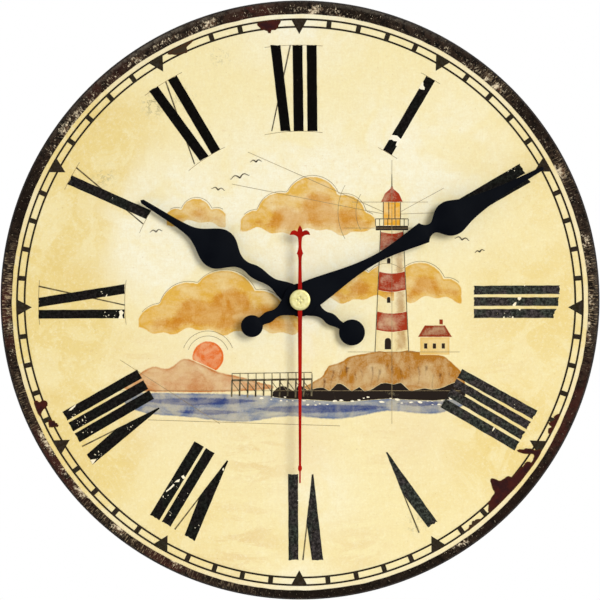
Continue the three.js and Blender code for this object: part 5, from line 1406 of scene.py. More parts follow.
# Left, right, foot and top of the cottage's walls, its chimney and its first window
COTTAGE_WALLS = (60, 75, -27.5, -18.5)
CHIMNEY = (69.6, 71.6, -12.4, -9.6)
WINDOW = (62, 63.8, -24.4, -21.6)
WINDOW_STEPS = (0, 4.4, 8.8)
COTTAGE_ROOF = ((58.8, -18.6), (76.2, -18.6), (72.6, -12.6), (62.4, -12.6))


def cottage():
    wall = Wash((240, 212, 160), 0.8, soft=0.4, pool=0.3).material("cottage_wash")
    roof = Wash((150, 58, 36), 1.0, soft=0.3, pool=0.2, stretch=(1, 1, 0.4)).material("cottage_roof_wash")
    dark = Wash((52, 40, 40), 1.6, soft=0.2, pool=0.1).material("cottage_window_wash")
    film("cottage_walls", [box_outline(*COTTAGE_WALLS)], WASH_LAYER + 0.8, wall, spacing=0.9)
    tops = [COTTAGE_ROOF, box_outline(*CHIMNEY)]
    film("cottage_roof", tops, SHADE_LAYER + 0.3, roof, spacing=0.7)
    left, right, low, high = WINDOW
    panes = [box_outline(left + step, right + step, low, high) for step in WINDOW_STEPS]
    film("cottage_windows", panes, DETAIL_LAYER, dark, spacing=0.6)


PIER_DECK = -40.2
PIER_START = -34.0
PIER_RUN = 40.0
PIER_BAYS = 10
PILE_FOOT = -48.4
BRACE_FOOT = -46.2


def pier():
    """A timber pier running out to the left of the headland: deck, rail, posts, piles and braces."""
    end = PIER_START + PIER_RUN
    lines = [ribbon([(PIER_START, PIER_DECK), (end, PIER_DECK + 0.6)], 1.0)]
    lines.append(ribbon([(PIER_START, PIER_DECK + 3.4), (end, PIER_DECK + 4.0)], 0.36))
    for i in range(PIER_BAYS + 1):
        u = PIER_START + PIER_RUN * i / PIER_BAYS
        lines.append(ribbon([(u, PIER_DECK + 3.6), (u + 0.1, PIER_DECK)], 0.4))
        lines.append(ribbon([(u, PIER_DECK), (u - 0.25, PILE_FOOT + 0.4 * math.sin(i * 2.1))], 0.8))
        if i < PIER_BAYS:
            lines.append(ribbon([(u, PIER_DECK - 0.8), (u + PIER_RUN / PIER_BAYS, BRACE_FOOT)], 0.34))
    film("pier", lines, HAIR_LAYER - 0.4, PEN_INK)


def setting_sun():
    sun = Wash((236, 120, 52), 0.95, soft=0.5, pool=0.25).material("sun_wash")
    film("setting_sun", [circle(SUN_AT, SUN_RADIUS, 40)], WASH_LAYER + 0.15, sun, spacing=1.0)


# Each gull's place, the span of one wing and its lean in degrees
GULLS = (
    (-30, 61, 5.0, 12), (-41, 55, 3.4, -8), (-22, 69, 3.0, 4), (81, 30, 3.8, -10), (90, 24, 2.6, 14),
    (-72, 34, 3.2, 6),
)
WING_STEPS = 8


def gulls():
    lines = []
    for u, v, span, lean in GULLS:
        cos, sin = math.cos(math.radians(lean)), math.sin(math.radians(lean))
        for side in (-1, 1):
            wing = []
            for t in even_steps(1, WING_STEPS):
                x = side * span * t
                y = span * (0.3 * math.sin(math.pi * min(t * 1.15, 1)) + 0.1 * t)
                wing.append((u + x * cos - y * sin, v + x * sin + y * cos))
            lines.append(ribbon(wing, 0.75, 0.3))
    film("gulls", lines, HAIR_LAYER - 0.2, PEN_INK)


def pencil_work():
    """Set-out lines left under the paint."""
    lines = [
        [(-94, SHORE + 0.6), (90, SHORE + 0.6)],
        [(TOWER_AT, -62), (TOWER_AT, 70)],
        [(TOWER_AT - 24, TOWER_TOP), (TOWER_AT + 26, TOWER_TOP)],
        [(TOWER_AT - 22, TOWER_FOOT - 1), (TOWER_AT + 34, TOWER_FOOT - 1)],
        [(TOWER_AT - 20, LANTERN_TOP), (TOWER_AT + 18, LANTERN_TOP)],
        [(TOWER_AT - 4, LANTERN_TOP - 5), (-26, 74)],
        [(TOWER_AT - 4, LANTERN_TOP - 6), (-34, 58)],
        [(TOWER_AT + 4, LANTERN_TOP - 5), (72, 56)],
        [(TOWER_AT + 4, LANTERN_TOP - 6), (78, 44)],
        [(-90, -30), (-40, -62)],
        [(-76, -60), (20, -63)],
    ]
    lamp_at = (TOWER_AT, LANTERN_TOP - 5)
    for centre, radius, sweep in (
        (lamp_at, 18, range(150, 214, 4)),
        (lamp_at, 27, range(150, 214, 4)),
        (SUN_AT, 10.5, range(20, 165, 5)),
        (SUN_AT, 13.0, range(20, 165, 5)),
    ):
        lines.append([polar(centre, radius, math.radians(angle)) for angle in sweep])
    film("pencil_work", [ribbon(line, 0.2) for line in lines], PENCIL_LAYER + 0.3, PENCIL)


def picture():
    clouds()
    setting_sun()
    land_and_sea()
    lighthouse()
    cottage()
    pier()
    gulls()
    pencil_work()


# Hands
class Pen:
    """Right-hand side of a hand, drawn from tip to tail as it points to twelve."""

    def __init__(self, u, v):
        self.line = [(u, v)]

    def to(self, u, v):
        self.line.append((u, v))

    def curve(self, first, second, end, steps=14):
        start = self.line[-1]
        for t in even_steps(1, steps)[1:]:
            weights = ((1 - t) ** 3, 3 * t * (1 - t) ** 2, 3 * t * t * (1 - t), t ** 3)
            knots = (start, first, second, end)
            self.line.append(tuple(sum(w * k[axis] for w, k in zip(weights, knots)) for axis in (0, 1)))

    def sweep(self, end, first, second):
        """A curve whose handles are given across the hand and as a share of the way to its end."""
        start_v = self.line[-1][1]
        handles = [(u, between(start_v, end[1], share)) for u, share in (first, second)]
        self.curve(*handles, end)

    def bend(self, knee, end, steps=10):
        """A curve with one handle."""
        start = self.line[-1]
        lean = [tuple(p[axis] + 2 / 3 * (knee[axis] - p[axis]) for axis in (0, 1)) for p in (start, end)]
        self.curve(lean[0], lean[1], end, steps)

    def arc(self, centre_v, radius, start, end, steps=24):
        for step in even_steps(end - start, steps):
            self.line.append(polar((0, centre_v), radius, start + step))

    def loop(self):
        """The whole outline, counter-clockwise, without doubled points."""
        right = [self.line[0]]
        for point in self.line[1:]:
            if math.dist(point, right[-1]) > 0.02:
                right.append(point)
        left = [(-u, v) for u, v in right[-2:0:-1]]
        return (right + left)[::-1]


def between(first, second, share):
    return first + (second - first) * share


HUB_RADIUS = 8.3
TAIL_NECK_AT = 13.8
TAIL_BEAD_AT = 18.1


def hub_and_tail(pen, flank, root, neck, bead, throat, ball_at, ball_radius):
    """Round the hub, down a tail with a neck, a bead and a throat, and round the ball at its end."""
    leave = math.acos(root / HUB_RADIUS)
    rise = math.sqrt(ball_radius ** 2 - throat ** 2)
    throat_v = rise - ball_at
    pen.arc(0, HUB_RADIUS, flank, -leave)
    pen.sweep((neck, -TAIL_NECK_AT), (between(root, neck, 0.42), 0.36), (neck, 0.62))
    pen.sweep((bead, -TAIL_BEAD_AT), (neck, 0.45), (bead, 0.55))
    pen.sweep((throat, throat_v), (bead, 0.4), (throat, 0.45))
    pen.arc(-ball_at, ball_radius, math.atan2(rise, throat), -math.pi / 2)


def minute_hand_outline():
    reach, tip, blade, heart_at, heart = 138.5, 1.0, 6.1, 85.8, 8.8
    neck_at, neck, collar_at, collar, waist_at, waist = 75.0, 2.6, 70.5, 5.45, 44.0, 2.1
    flank = math.radians(28)
    flank_u, flank_v = HUB_RADIUS * math.cos(flank), HUB_RADIUS * math.sin(flank)
    pen = Pen(0, reach)
    pen.to(tip, reach - tip)
    pen.curve(
        (tip * 1.6, between(heart_at, reach, 0.68)),
        (blade * 0.52, between(heart_at, reach, 0.36)),
        (blade, between(heart_at, reach, 0.167)),
    )
    pen.curve(
        (between(blade, heart, 0.4), between(heart_at, reach, 0.1)),
        (heart, between(heart_at, reach, 0.05)),
        (heart, heart_at),
    )
    pen.sweep((neck, neck_at), (heart, 0.62), (neck * 1.15, 0.72))
    pen.bend((neck, between(collar_at, neck_at, 0.36)), (collar, collar_at))
    pen.sweep((waist, waist_at), (collar * 0.84, 0.25), (waist, 0.68))
    pen.sweep((flank_u, flank_v), (waist, 0.4), (flank_u * 0.92, 0.72))
    hub_and_tail(pen, flank, root=5.3, neck=2.1, bead=2.85, throat=2.2, ball_at=27.3, ball_radius=5.5)
    return pen.loop()


def hour_hand_outline():
    reach, tip, blade, blade_at, heart_at, heart = 94.0, 1.1, 2.9, 63.8, 48.4, 10.2
    neck_at, neck, bead_at, bead, waist_at, waist = 32.6, 2.3, 26.0, 3.25, 17.0, 2.35
    flank = math.radians(52)
    flank_u, flank_v = HUB_RADIUS * math.cos(flank), HUB_RADIUS * math.sin(flank)
    pen = Pen(0, reach)
    pen.to(tip, reach - tip)
    pen.curve(
        (tip * 1.45, between(reach, blade_at, 0.35)),
        (blade * 0.45, between(reach, blade_at, 0.8)),
        (blade, blade_at),
    )
    pen.sweep((heart, heart_at), (between(blade, heart, 0.24), 0.4), (heart, 0.64))
    pen.sweep((neck, neck_at), (heart, 0.48), (neck * 1.1, 0.54))
    pen.sweep((bead, bead_at), (neck, 0.5), (bead, 0.5))
    pen.sweep((waist, waist_at), (bead, 0.5), (waist, 0.5))
    pen.sweep((flank_u, flank_v), (waist, 0.3), (flank_u * 0.85, 0.5))
    hub_and_tail(pen, flank, root=4.9, neck=2.15, bead=2.95, throat=1.9, ball_at=30.6, ball_radius=6.5)
    return pen.loop()


def second_hand_outline():
    reach, tip, bead_at, bead, needle, hub = 91.5, 0.4, 83.9, 1.0, 0.6, 1.1
    bulb_at, bulb, stem, leaf_at, leaf, tail = 23.0, 1.7, 0.8, 32.4, 5.1, 37.3
    leaf_root = between(leaf_at, bulb_at, 0.12)
    crown = between(leaf_at, tail, 0.35)
    stem_at = between(bulb_at, leaf_at, 0.42)
    pen = Pen(0, reach)
    pen.to(tip, reach - tip)
    pen.to(tip, bead_at + 1.5 * bead)
    pen.bend((bead, bead_at + bead), (bead, bead_at))
    pen.bend((bead, bead_at - bead), (needle, bead_at - 1.5 * bead))
    pen.to(hub, 0)
    pen.to(stem, -0.8 * bulb_at)
    pen.bend((stem, -bulb_at), (bulb, -bulb_at))
    pen.bend((stem, between(-bulb_at, -stem_at, 0.5)), (stem, -stem_at))
    pen.bend((stem, between(-stem_at, -leaf_root, 0.6)), (hub, -leaf_root))
    pen.bend((leaf * 0.5, -leaf_at - 0.6 * stem), (leaf, -leaf_at))
    fall = [(leaf * 0.9, between(-leaf_at, -tail, 0.5)), (leaf * 0.55, between(-leaf_at, -tail, 0.62))]
    pen.curve(*fall, (bulb * 0.75, -crown))
    pen.bend((bulb * 0.7, between(-crown, -tail, 0.5)), (0, -tail))
    return pen.loop()


def drawn_in(outline, amount):
    """An outline moved inwards along its own normals."""
    moved = []
    count = len(outline)
    for i, (u, v) in enumerate(outline):
        before, after = Vector(outline[i - 1]), Vector(outline[(i + 1) % count])
        way = (after - before).normalized()
        moved.append((u - way.y * amount, v + way.x * amount))
    return moved


def stamped_plate(name, outline, hole, back, front, soft, clockwise):
    """A flat plate with a round hole and softened edges, turned to a clock angle."""
    turn = math.radians(clockwise)
    spin = Matrix.Rotation(turn, 3, "Y")
    bore = circle(AXIS, hole, 48)
    levels = []
    for share in even_steps(math.pi / 2, 3):
        levels.append((soft * (1 - math.cos(share)), front - soft + soft * math.sin(share)))
    levels = [(inset, back + front - depth) for inset, depth in levels[::-1]] + levels
    verts, faces = [], []
    count, round_count = len(outline), len(bore)
    for inset, depth in levels:
        verts += [spot(u, v, depth) for u, v in drawn_in(outline, inset)]
    for level in range(len(levels) - 1):
        low, high = level * count, (level + 1) * count
        for i in range(count):
            j = (i + 1) % count
            faces.append((low + i, low + j, high + j, high + i))
    walls = len(verts)
    verts += [spot(u, v, back) for u, v in bore] + [spot(u, v, front) for u, v in bore]
    for i in range(round_count):
        j = (i + 1) % round_count
        faces.append((walls + j, walls + i, walls + round_count + i, walls + round_count + j))
    rim = drawn_in(outline, levels[-1][0])
    points, triangles = fill([rim, bore[::-1]])
    keep = [
        face for face in triangles
        if math.hypot(*(sum(points[i][axis] for i in face) / 3 for axis in (0, 1))) > hole * 0.98
    ]
    for depth, flipped in ((front, False), (back, True)):
        start = len(verts)
        verts += [spot(u, v, depth) for u, v in points]
        faces += [[start + i for i in (face[::-1] if flipped else face)] for face in keep]
    mesh = mesh_of(name, [spin @ vert for vert in verts], faces)
    return shaded(outward(mesh), 28)


HOUR_ANGLE, MINUTE_ANGLE, SECOND_ANGLE = 302.0, 61.5, 180.0
HOUR_HOLE, MINUTE_HOLE, SECOND_HOLE = 3.7, 2.7, 0.6
PLATE_EDGE = 0.22
NEEDLE_EDGE = 0.1


def hands():
    black = hand_paint("black_hand_paint", (3, 5, 11), (7, 10, 16))
    red = hand_paint("red_hand_paint", (172, 20, 8), (146, 16, 8))
    for name, outline, hole, angle, paint, slot, soft in (
        ("hour_hand", hour_hand_outline(), HOUR_HOLE, HOUR_ANGLE, black, "black_paint", PLATE_EDGE),
        ("minute_hand", minute_hand_outline(), MINUTE_HOLE, MINUTE_ANGLE, black, "black_paint", PLATE_EDGE),
        ("second_hand", second_hand_outline(), SECOND_HOLE, SECOND_ANGLE, red, "red_paint", NEEDLE_EDGE),
    ):
        mesh = stamped_plate(name + "_stamped", outline, hole, *depths_of(name), soft, angle)
        add_piece(name + "_stamped", mesh, paint, name, slot, name)


# The cap is staked to its tube by four punch marks round its middle
PUNCH_AT = 1.35
PUNCH_RADIUS = 0.42
PUNCH_DEPTH = 0.13
PUNCH_MARKS = circle(AXIS, PUNCH_AT, 4)


def cap_brass():
    """Pale lacquered brass, with painted shade in and round the punch marks and painted shade over the rounded
    rim.
    """
    finish = Finish("cap_brass", Metallic=0.85, Specular_IOR_Level=0.2)
    where = finish.place()
    face = front_of("second_hand_cap")
    cloud = finish.blotches(where, 1.6, (0.35, 0.7), detail=4, roughness=0.6)
    colour = finish.mix(cloud, (205, 199, 146), (190, 182, 120))
    # Painted shade: darker in and round the four punch marks
    punch_shade = 0.0
    for u, v in PUNCH_MARKS:
        punch_shade = finish.maths("MAXIMUM", punch_shade, finish.around(where, u, v, 3 * PUNCH_RADIUS, face))
    colour = finish.tint(punch_shade, 0.38, colour, (128, 120, 66))
    # Painted shade: darker over the rounded rim
    reach = finish.distance(where, (0, -face, 0))
    colour = finish.mix(finish.ramp(reach, 3.8, 5.2, 0.0, 0.5), colour, (176, 170, 112))
    rings = finish.noise(finish.round_the_dial(where, 60.0, 0.22), 1.0, detail=2)
    rough = finish.ramp(rings, 0.3, 0.7, 0.4, 0.54)
    return finish.done(colour, rough, finish.bump(rings, 0.1, 0.01))


CAP_CHAMFER = 0.15
CAP_ROUND = 0.4
CAP_RIM = 1.1
CAP_RINGS = 14


def centre_cap():
    name = "second_hand_cap"
    radius = reach_of(name)
    back, face = depths_of(name)
    flat = radius - CAP_RIM
    profile = [(0, back), (radius - CAP_CHAMFER, back), (radius, back + CAP_CHAMFER)]
    profile += rounded(radius, face - 0.1, -1, -1, CAP_ROUND, 6)[::-1]
    profile += [(radius - 0.8, face - 0.02), (flat, face)]
    profile += [(flat * (1 - (i + 1) / CAP_RINGS), face) for i in range(CAP_RINGS)]
    mesh = turned("centre_cap_turned", profile)
    for vert in mesh.vertices:
        u, v = vert.co.x / MM, vert.co.z / MM
        if -vert.co.y / MM < face - 0.01:
            continue
        for mark in PUNCH_MARKS:
            hollow = PUNCH_DEPTH * math.exp(-(math.dist((u, v), mark) / PUNCH_RADIUS) ** 2)
            vert.co.y += hollow * MM
    mesh.update()
    add_piece("centre_cap_turned", mesh, cap_brass(), "second_hand", "cap_brass", name)


# Fittings at the hub, seen from the side under the hands
NUT_BORE = 4.05
NUT_EDGE = 0.28
NUT_SIDES = 6
NUT_STEPS = (0.04, 0.35, 0.65, 0.96)
WASHER_EDGE = 0.16
COLLET_BORES = {"hour_hand": 2.7, "minute_hand": 1.7}
COLLET_WALL = 0.9
FLANGE_CHAMFER = 0.12
SPIGOT_CHAMFER = 0.15
SEAT_GAP = 0.02


def washer(brass):
    name = "dial_washer"
    radius, (back, face) = reach_of(name), depths_of(name)
    profile = [(HUB_HOLE, back), (radius, back)]
    profile += rounded(radius, face, -1, -1, WASHER_EDGE)[::-1]
    profile += rounded(HUB_HOLE, face, 1, -1, WASHER_EDGE)
    add_piece("washer_pressed", turned("washer_pressed", profile), brass, "clock_body", "brass", name)


def nut(brass):
    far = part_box("dial_nut")[1]
    corner = max(far.x, far.z) / MM
    pitch = 360 / NUT_SIDES
    start = 0 if far.x > far.z else pitch / 2
    hexagon = [polar(AXIS, corner, math.radians(start + pitch * i)) for i in range(NUT_SIDES)]
    sides = []
    for i in range(NUT_SIDES):
        here, ahead = Vector(hexagon[i]), Vector(hexagon[(i + 1) % NUT_SIDES])
        sides += [tuple(here.lerp(ahead, step)) for step in NUT_STEPS]
    mesh = stamped_plate("nut_chamfered", sides, NUT_BORE, *depths_of("dial_nut"), NUT_EDGE, 0)
    add_piece("nut_chamfered", mesh, brass, "clock_body", "brass", "dial_nut")


def collets(brass):
    """A collet under each of the two black hands: a flange, and a spigot through the hand."""
    for hand, bore in COLLET_BORES.items():
        name = hand + "_collet"
        back, face = depths_of(name)
        flange, spigot = reach_of(name), bore + COLLET_WALL
        seat = rear_of(hand) - SEAT_GAP
        profile = [(bore, back), (flange - FLANGE_CHAMFER, back), (flange, back + FLANGE_CHAMFER)]
        profile += [(flange, seat), (spigot, seat), (spigot, face - SPIGOT_CHAMFER)]
        profile += [(spigot - SPIGOT_CHAMFER, face), (bore, face)]
        add_piece(name + "_turned", turned(name + "_turned", profile, sides=64), brass, hand, "brass", name)


def hub_fittings():
    brass = turned_brass()
    washer(brass)
    nut(brass)
    collets(brass)


# Movement on the back
def moulded_plastic(name, body, shade, grain=0.45, rough=0.52):
    """Moulded plastic with a spark-eroded grain and faint flow marks."""
    finish = Finish(name, Specular_IOR_Level=0.35)
    where = finish.place()
    spark = finish.noise(where, grain, detail=3, roughness=0.65)
    flow = finish.blotches(finish.place((0.5, 1, 1.3)), 11, (0.3, 0.7), detail=4, distortion=1.5)
    colour = finish.mix(flow, body, shade)
    level = finish.maths("ADD", spark, finish.times(flow, 0.3))
    roughness = finish.ramp(level, 0.3, 1.0, rough - 0.08, rough + 0.12)
    return finish.done(colour, roughness, finish.bump(spark, 0.22, 0.06))


def bright_metal(name, body, shade, rough=0.3, stretch=(0.15, 1, 1)):
    """Rolled sheet or drawn wire with a fine grain along it."""
    finish = Finish(name, Metallic=1.0)
    where = finish.place()
    grain = finish.noise(finish.place(stretch), 0.25, detail=4, roughness=0.6)
    stain = finish.blotches(where, 4, (0.45, 0.75), detail=4)
    colour = finish.tint(stain, 0.6, body, shade)
    roughness = finish.ramp(grain, 0.25, 0.75, rough - 0.08, rough + 0.12)
    return finish.done(colour, roughness, finish.bump(grain, 0.08, 0.02))


def wound_copper():
    """Enamelled wire, turn beside turn along the bobbin, each turn with a painted highlight along its crest
    and painted shade between turns.
    """
    finish = Finish("wound_copper", Metallic=1.0)
    where = finish.place()
    turn_ridges_and_sheen = finish.wave(where, 2.2, 0.5, 2.0, bands_direction="X")
    # Painted highlight and shade: lighter copper on each turn's crest, darker between turns
    colour = finish.mix(turn_ridges_and_sheen, (120, 58, 30), (206, 118, 70))
    roughness = finish.blotches(where, 0.6, (0.3, 0.7, 0.25, 0.45), detail=3)
    return finish.done(colour, roughness, finish.bump(turn_ridges_and_sheen, 0.5, 0.08))


def circuit_laminate():
    """Green lacquer over copper tracks."""
    finish = Finish("circuit_laminate", Specular_IOR_Level=0.4)
    where = finish.place()
    weave = finish.noise(finish.place((1, 1, 4)), 0.5, detail=2)
    tracks = finish.ramp(finish.wave(where, 0.35, 3.0, 1.0, bands_direction="DIAGONAL"), 0.55, 0.62)
    lacquer = finish.mix(weave, (22, 78, 46), (34, 98, 58))
    colour = finish.tint(tracks, 0.6, lacquer, (88, 132, 70))
    roughness = finish.ramp(weave, 0.3, 0.7, 0.28, 0.42)
    return finish.done(colour, roughness, finish.bump(tracks, 0.2, 0.05))


COPPER_BAND = 13.0
NUB_BARE = 2.2
FLAT_BARE = 0.8
PRINT_BLUR = 0.1


def cell_wrap(nub_end):
    """Plain printed sleeve: a dark body, a copper-coloured band at the raised end and bare steel ends."""
    finish = Finish("cell_wrap", Specular_IOR_Level=0.4)
    where = finish.place()
    along = finish.parts(where)["X"]
    scuff = finish.noise(where, 1.4, detail=5, roughness=0.7)
    body = finish.mix(finish.ramp(scuff, 0.35, 0.7), (30, 33, 38), (46, 50, 56))
    band = finish.mix(finish.ramp(scuff, 0.35, 0.7), (196, 132, 74), (214, 156, 96))
    steel = finish.mix(scuff, (172, 174, 176), (206, 207, 208))
    band_at, nub_at, flat_at = nub_end - COPPER_BAND, nub_end - NUB_BARE, FLAT_BARE - nub_end
    copper = finish.ramp(along, band_at - PRINT_BLUR, band_at + PRINT_BLUR)
    ends = finish.maths(
        "MAXIMUM",
        finish.ramp(along, nub_at - PRINT_BLUR, nub_at + PRINT_BLUR),
        finish.ramp(along, flat_at + PRINT_BLUR, flat_at - PRINT_BLUR),
    )
    colour = finish.mix(ends, finish.mix(copper, body, band), steel)
    metallic = finish.maths("MAXIMUM", ends, finish.times(copper, 0.8))
    roughness = finish.ramp(scuff, 0.3, 0.7, 0.26, 0.42)
    return finish.done(colour, roughness, finish.bump(scuff, 0.05, 0.03), metallic)


NUB_LENGTH = 1.4
NUB_RADIUS = 2.7
SLEEVE = 0.12


def battery():
    """A round cell lying across the bay, turned along its own length."""
    low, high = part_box("battery_cell")
    half = high.x / MM
    radius = (high.z - low.z) / 2 / MM
    shoulder = half - NUB_LENGTH
    can = radius - SLEEVE
    # Points of either end: the radius, and how far in from that end of the can
    flat_end = [(0, 0.25), (3.4, 0.25), (3.7, 0), (radius - 1.0, 0), (radius - 0.5, 0.2), (can, 0.6)]
    flat_end += [(can, 0.75)]
    nub_end = [(can, 0.75), (can, 0.6), (radius - 0.5, 0.15), (radius - 1.0, 0), (NUB_RADIUS + 0.25, 0)]
    profile = [(reach, -half + at) for reach, at in flat_end]
    profile += [(radius, -half + 0.85), (radius, shoulder - 0.85)]
    profile += [(reach, shoulder - at) for reach, at in nub_end]
    profile += [(NUB_RADIUS, shoulder + 0.2), (NUB_RADIUS, half - 0.3), (NUB_RADIUS - 0.3, half), (0, half)]
    mesh = turned("cell_wrapped", profile, sides=72)
    mesh.transform(Matrix.Rotation(math.pi / 2, 4, "Z"))
    mesh.transform(Matrix.Translation((0, (low.y + high.y) / 2, (low.z + high.z) / 2)))
    add_piece("cell_wrapped", mesh, cell_wrap(half), "battery", "battery", "battery_cell")


FLUTES = 18
FLUTE_DEPTH = 0.35
# The groove in the knob's face: radii and depths of its four corners
GROOVE = ((1.9, 0), (2.1, 0.2), (2.9, 0.2), (3.1, 0))


def setting_knob():
    """A fluted knob sunk in its cup, with a round groove in its face."""
    low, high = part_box("setting_knob")
    radius = (high.x - low.x) / 2 / MM
    rear, front = depths_of("setting_knob")
    profile = [(0.0, rear)] + [(reach, rear + sunk) for reach, sunk in GROOVE]
    flank = [(radius - 0.5, rear), (radius - 0.14, rear + 0.12), (radius, rear + 0.45)]
    flank += [(radius, front - 0.2), (radius - 0.2, front)]
    profile += [(reach, at, FLUTE_DEPTH) for reach, at in flank]
    profile += [(0.0, front)]
    mesh = turned("knob_fluted", profile, middle_of("setting_knob"), 10 * FLUTES, FLUTES)
    plastic = moulded_plastic("knob_plastic", (40, 41, 43), (52, 53, 55), grain=0.35, rough=0.45)
    add_piece("knob_fluted", mesh, plastic, "setting", "knob_plastic", "setting_knob")


def solid_copy(node):
    """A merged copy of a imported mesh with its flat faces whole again."""
    source = frame["nodes"][node]
    work = bmesh.new()
    work.from_mesh(source.data)
    work.transform(source.matrix_world)
    bmesh.ops.remove_doubles(work, verts=work.verts, dist=1e-6)
    bmesh.ops.dissolve_limit(work, angle_limit=math.radians(0.6), verts=work.verts, edges=work.edges)
    mesh = bpy.data.meshes.new(node + "_moulded")
    work.to_mesh(mesh)
    work.free()
    return mesh


def softened(mesh, soft, cutters=()):
    """Cuts marks into a mesh and rounds its sharp edges."""
    holder = placed(mesh.name, mesh)
    tools = []
    for cutter in cutters:
        tool = placed(cutter.name, cutter)
        tools.append(tool)
        cut = holder.modifiers.new("engrave", "BOOLEAN")
        cut.object = tool
        cut.solver = "EXACT"
    rounding = holder.modifiers.new("soften", "BEVEL")
    rounding.width = soft * MM
    rounding.segments = 2
    rounding.limit_method = "ANGLE"
    rounding.angle_limit = math.radians(40)
    evaluated = holder.evaluated_get(bpy.context.evaluated_depsgraph_get())
    made = bpy.data.meshes.new_from_object(evaluated)
    made.name = mesh.name
    for thing in [holder] + tools:
        bpy.data.objects.remove(thing)
    return shaded(made, 30)


MARK_DEPTH = 0.25
MARK_STROKE = 0.7
MARK_ARM = 1.7
# How far the signs stand in from the ends of the cell and above the lower edge of the cover
SIGN_IN, SIGN_UP = 4.5, 4.0
ARROW_REACH = 8.4
ARROW_WING = 1.3
ARROW_SHAFT = range(20, 101, 8)
ARROW_ROOT, ARROW_TIP = 99, 118


def cover_marks():
    """Cutters for the marks sunk in the cover: which way the cell lies and how the knob turns."""
    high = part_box("back_cover")[0].z / MM + SIGN_UP
    at = reach_of("battery_cell") - SIGN_IN
    arm, half = MARK_ARM, MARK_STROKE / 2
    plus = [(half, half), (half, arm), (-half, arm), (-half, half), (-arm, half), (-arm, -half)]
    plus += [(-half, -half), (-half, -arm), (half, -arm), (half, -half), (arm, -half), (arm, half)]
    outlines = [[(at + u, high + v) for u, v in plus]]
    outlines.append(box_outline(-at - arm, -at + arm, high - half, high + half))
    knob = middle_of("setting_knob")
    shaft = [polar(knob, ARROW_REACH, math.radians(angle)) for angle in ARROW_SHAFT]
    outlines.append(ribbon(shaft, MARK_STROKE))
    tip, wing = math.radians(ARROW_TIP), math.radians(ARROW_ROOT)
    outlines.append([
        polar(knob, ARROW_REACH, tip),
        polar(knob, ARROW_REACH - ARROW_WING, wing),
        polar(knob, ARROW_REACH + ARROW_WING, wing),
    ])
    # Each is sunk a little deeper than the last, because the arrow's head and shaft overlap
    depths = [MARK_DEPTH + 0.01 * i for i in range(len(outlines))]
    return [slab("cover_mark", *fill([outline]), -1.0, depth) for outline, depth in zip(outlines, depths)]


CASE_EDGE = 0.22
COVER_EDGE = 0.1


def movement():
    black = moulded_plastic("case_plastic", (30, 31, 33), (40, 41, 43))
    case = softened(solid_copy("movement_case"), CASE_EDGE)
    cover = softened(solid_copy("back_cover"), COVER_EDGE, cover_marks())
    add_piece("movement_case_moulded", case, black, "clock_body", "case_plastic", "movement_case")
    add_piece("back_cover_moulded", cover, black, "clock_body", "case_plastic", "back_cover")
    setting_knob()
    battery()


def inner_works():
    """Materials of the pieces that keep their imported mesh."""
    looks = {
        "brass": bright_metal("drawn_brass", (214, 186, 122), (172, 138, 80)),
        "steel": bright_metal("spring_steel", (186, 188, 190), (150, 150, 150)),
        "case_plastic": moulded_plastic("plate_plastic", (34, 35, 37), (44, 45, 47)),
        "white_plastic": moulded_plastic("acetal", (232, 229, 216), (240, 238, 228), grain=0.6, rough=0.4),
        "rubber": moulded_plastic("gasket_rubber", (24, 24, 25), (32, 32, 33), grain=0.8, rough=0.78),
        "stator_iron": bright_metal("stator_iron", (132, 134, 136), (100, 98, 96), rough=0.42),
        "magnet": bright_metal("sintered_magnet", (72, 74, 78), (52, 52, 54), rough=0.5, stretch=(1, 1, 1)),
        "copper_wire": wound_copper(),
        "circuit": circuit_laminate(),
        "resin": moulded_plastic("potting_resin", (14, 14, 16), (24, 24, 26), grain=1.4, rough=0.22),
    }
    for entry in frame["record"]["subparts"]:
        node = frame["nodes"][entry["node"]]
        if entry["material_slot"] in looks:
            node.data.materials.clear()
            node.data.materials.append(looks[entry["material_slot"]])


# Stage: white surroundings, a pale floor, one soft key light and two fills
PHOTO_WIDTH = 300.3
CAMERA_DISTANCE = 2400.0
SENSOR = 36.0
AMBIENT = 0.29
LIT_PLACE = (0, -0.02, 0)


def camera():
    data = bpy.data.cameras.new("camera")
    data.sensor_width = SENSOR
    data.lens = SENSOR * CAMERA_DISTANCE / PHOTO_WIDTH
    data.clip_start, data.clip_end = 0.05, 20.0
    eye = placed("camera", data)
    eye.location = spot(0, 0, BOARD_FRONT + CAMERA_DISTANCE)
    eye.rotation_euler = (math.pi / 2, 0, 0)
    bpy.context.scene.camera = eye


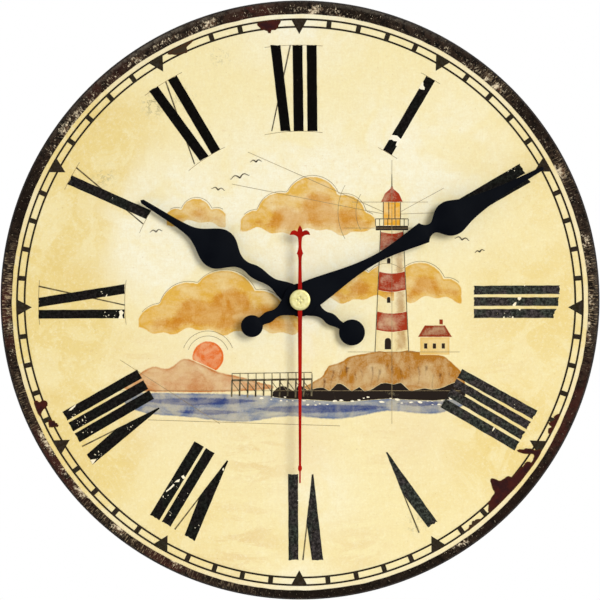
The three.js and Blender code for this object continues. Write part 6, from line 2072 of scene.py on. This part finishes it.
def lamp(name, kind, place, energy, size):
    """A light that points at the dial; size is a sun's angle or a disc's width."""
    data = bpy.data.lights.new(name, kind)
    data.energy = energy
    if kind == "SUN":
        data.angle = size
    else:
        data.shape = "DISK"
        data.size = size
    holder = placed(name, data)
    holder.location = place
    holder.rotation_euler = (Vector(LIT_PLACE) - Vector(place)).to_track_quat("-Z", "Y").to_euler()


def surroundings():
    """White to the camera and in reflections, dimmer as a light."""
    world = bpy.data.worlds.new("studio")
    world.use_nodes = True
    bpy.context.scene.world = world
    recipe = Recipe(world.node_tree)
    background = world.node_tree.nodes["Background"]
    path = recipe.node("ShaderNodeLightPath").outputs
    seen = recipe.maths("MAXIMUM", path["Is Camera Ray"], path["Is Glossy Ray"])
    seen = recipe.maths("MAXIMUM", seen, path["Is Transmission Ray"])
    background.inputs["Color"].default_value = (1, 1, 1, 1)
    recipe.feed(background.inputs["Strength"], recipe.ramp(seen, 0, 1, AMBIENT, 1.0))


def floor():
    half, near, far, low = 3.5, -4.0, 2.2, -0.3
    verts = [(-half, near, low), (half, near, low), (half, far, low), (-half, far, low)]
    mesh = mesh_of("floor", verts, [(0, 1, 2, 3)])
    finish = Finish("pale_floor", Roughness=0.8)
    cloud = finish.noise(finish.place(), 160, detail=2)
    colour = finish.mix(cloud, (236, 235, 232), (244, 243, 241))
    mesh.materials.append(finish.done(colour))
    ground = placed("floor", mesh)


def stage():
    camera()
    surroundings()
    floor()
    lamp("key", "SUN", (0.98, -2.0, 0.5), energy=2.0, size=math.radians(26))
    lamp("rear_fill", "AREA", (-0.7, 1.3, 0.6), energy=16.0, size=1.2)
    lamp("overhead", "AREA", (0.2, 1.0, 1.7), energy=26.0, size=1.2)
    bpy.context.scene.view_settings.view_transform = "Standard"


stage()
dial_board()
dial_print()
arc_film("rim_band", RIM_INNER, PRINT_RADIUS - PRINT_SOFT, INK_LAYER, worn_rim(), AXIS, RIM_FRAY)
picture()
minute_track(printed_ink("track_ink", (38, 29, 15)))
numerals(printed_ink("numeral_ink", (7, 5, 4)))
ink_flakes()
rust_stains()
hands()
centre_cap()
hub_fittings()
inner_works()
movement()
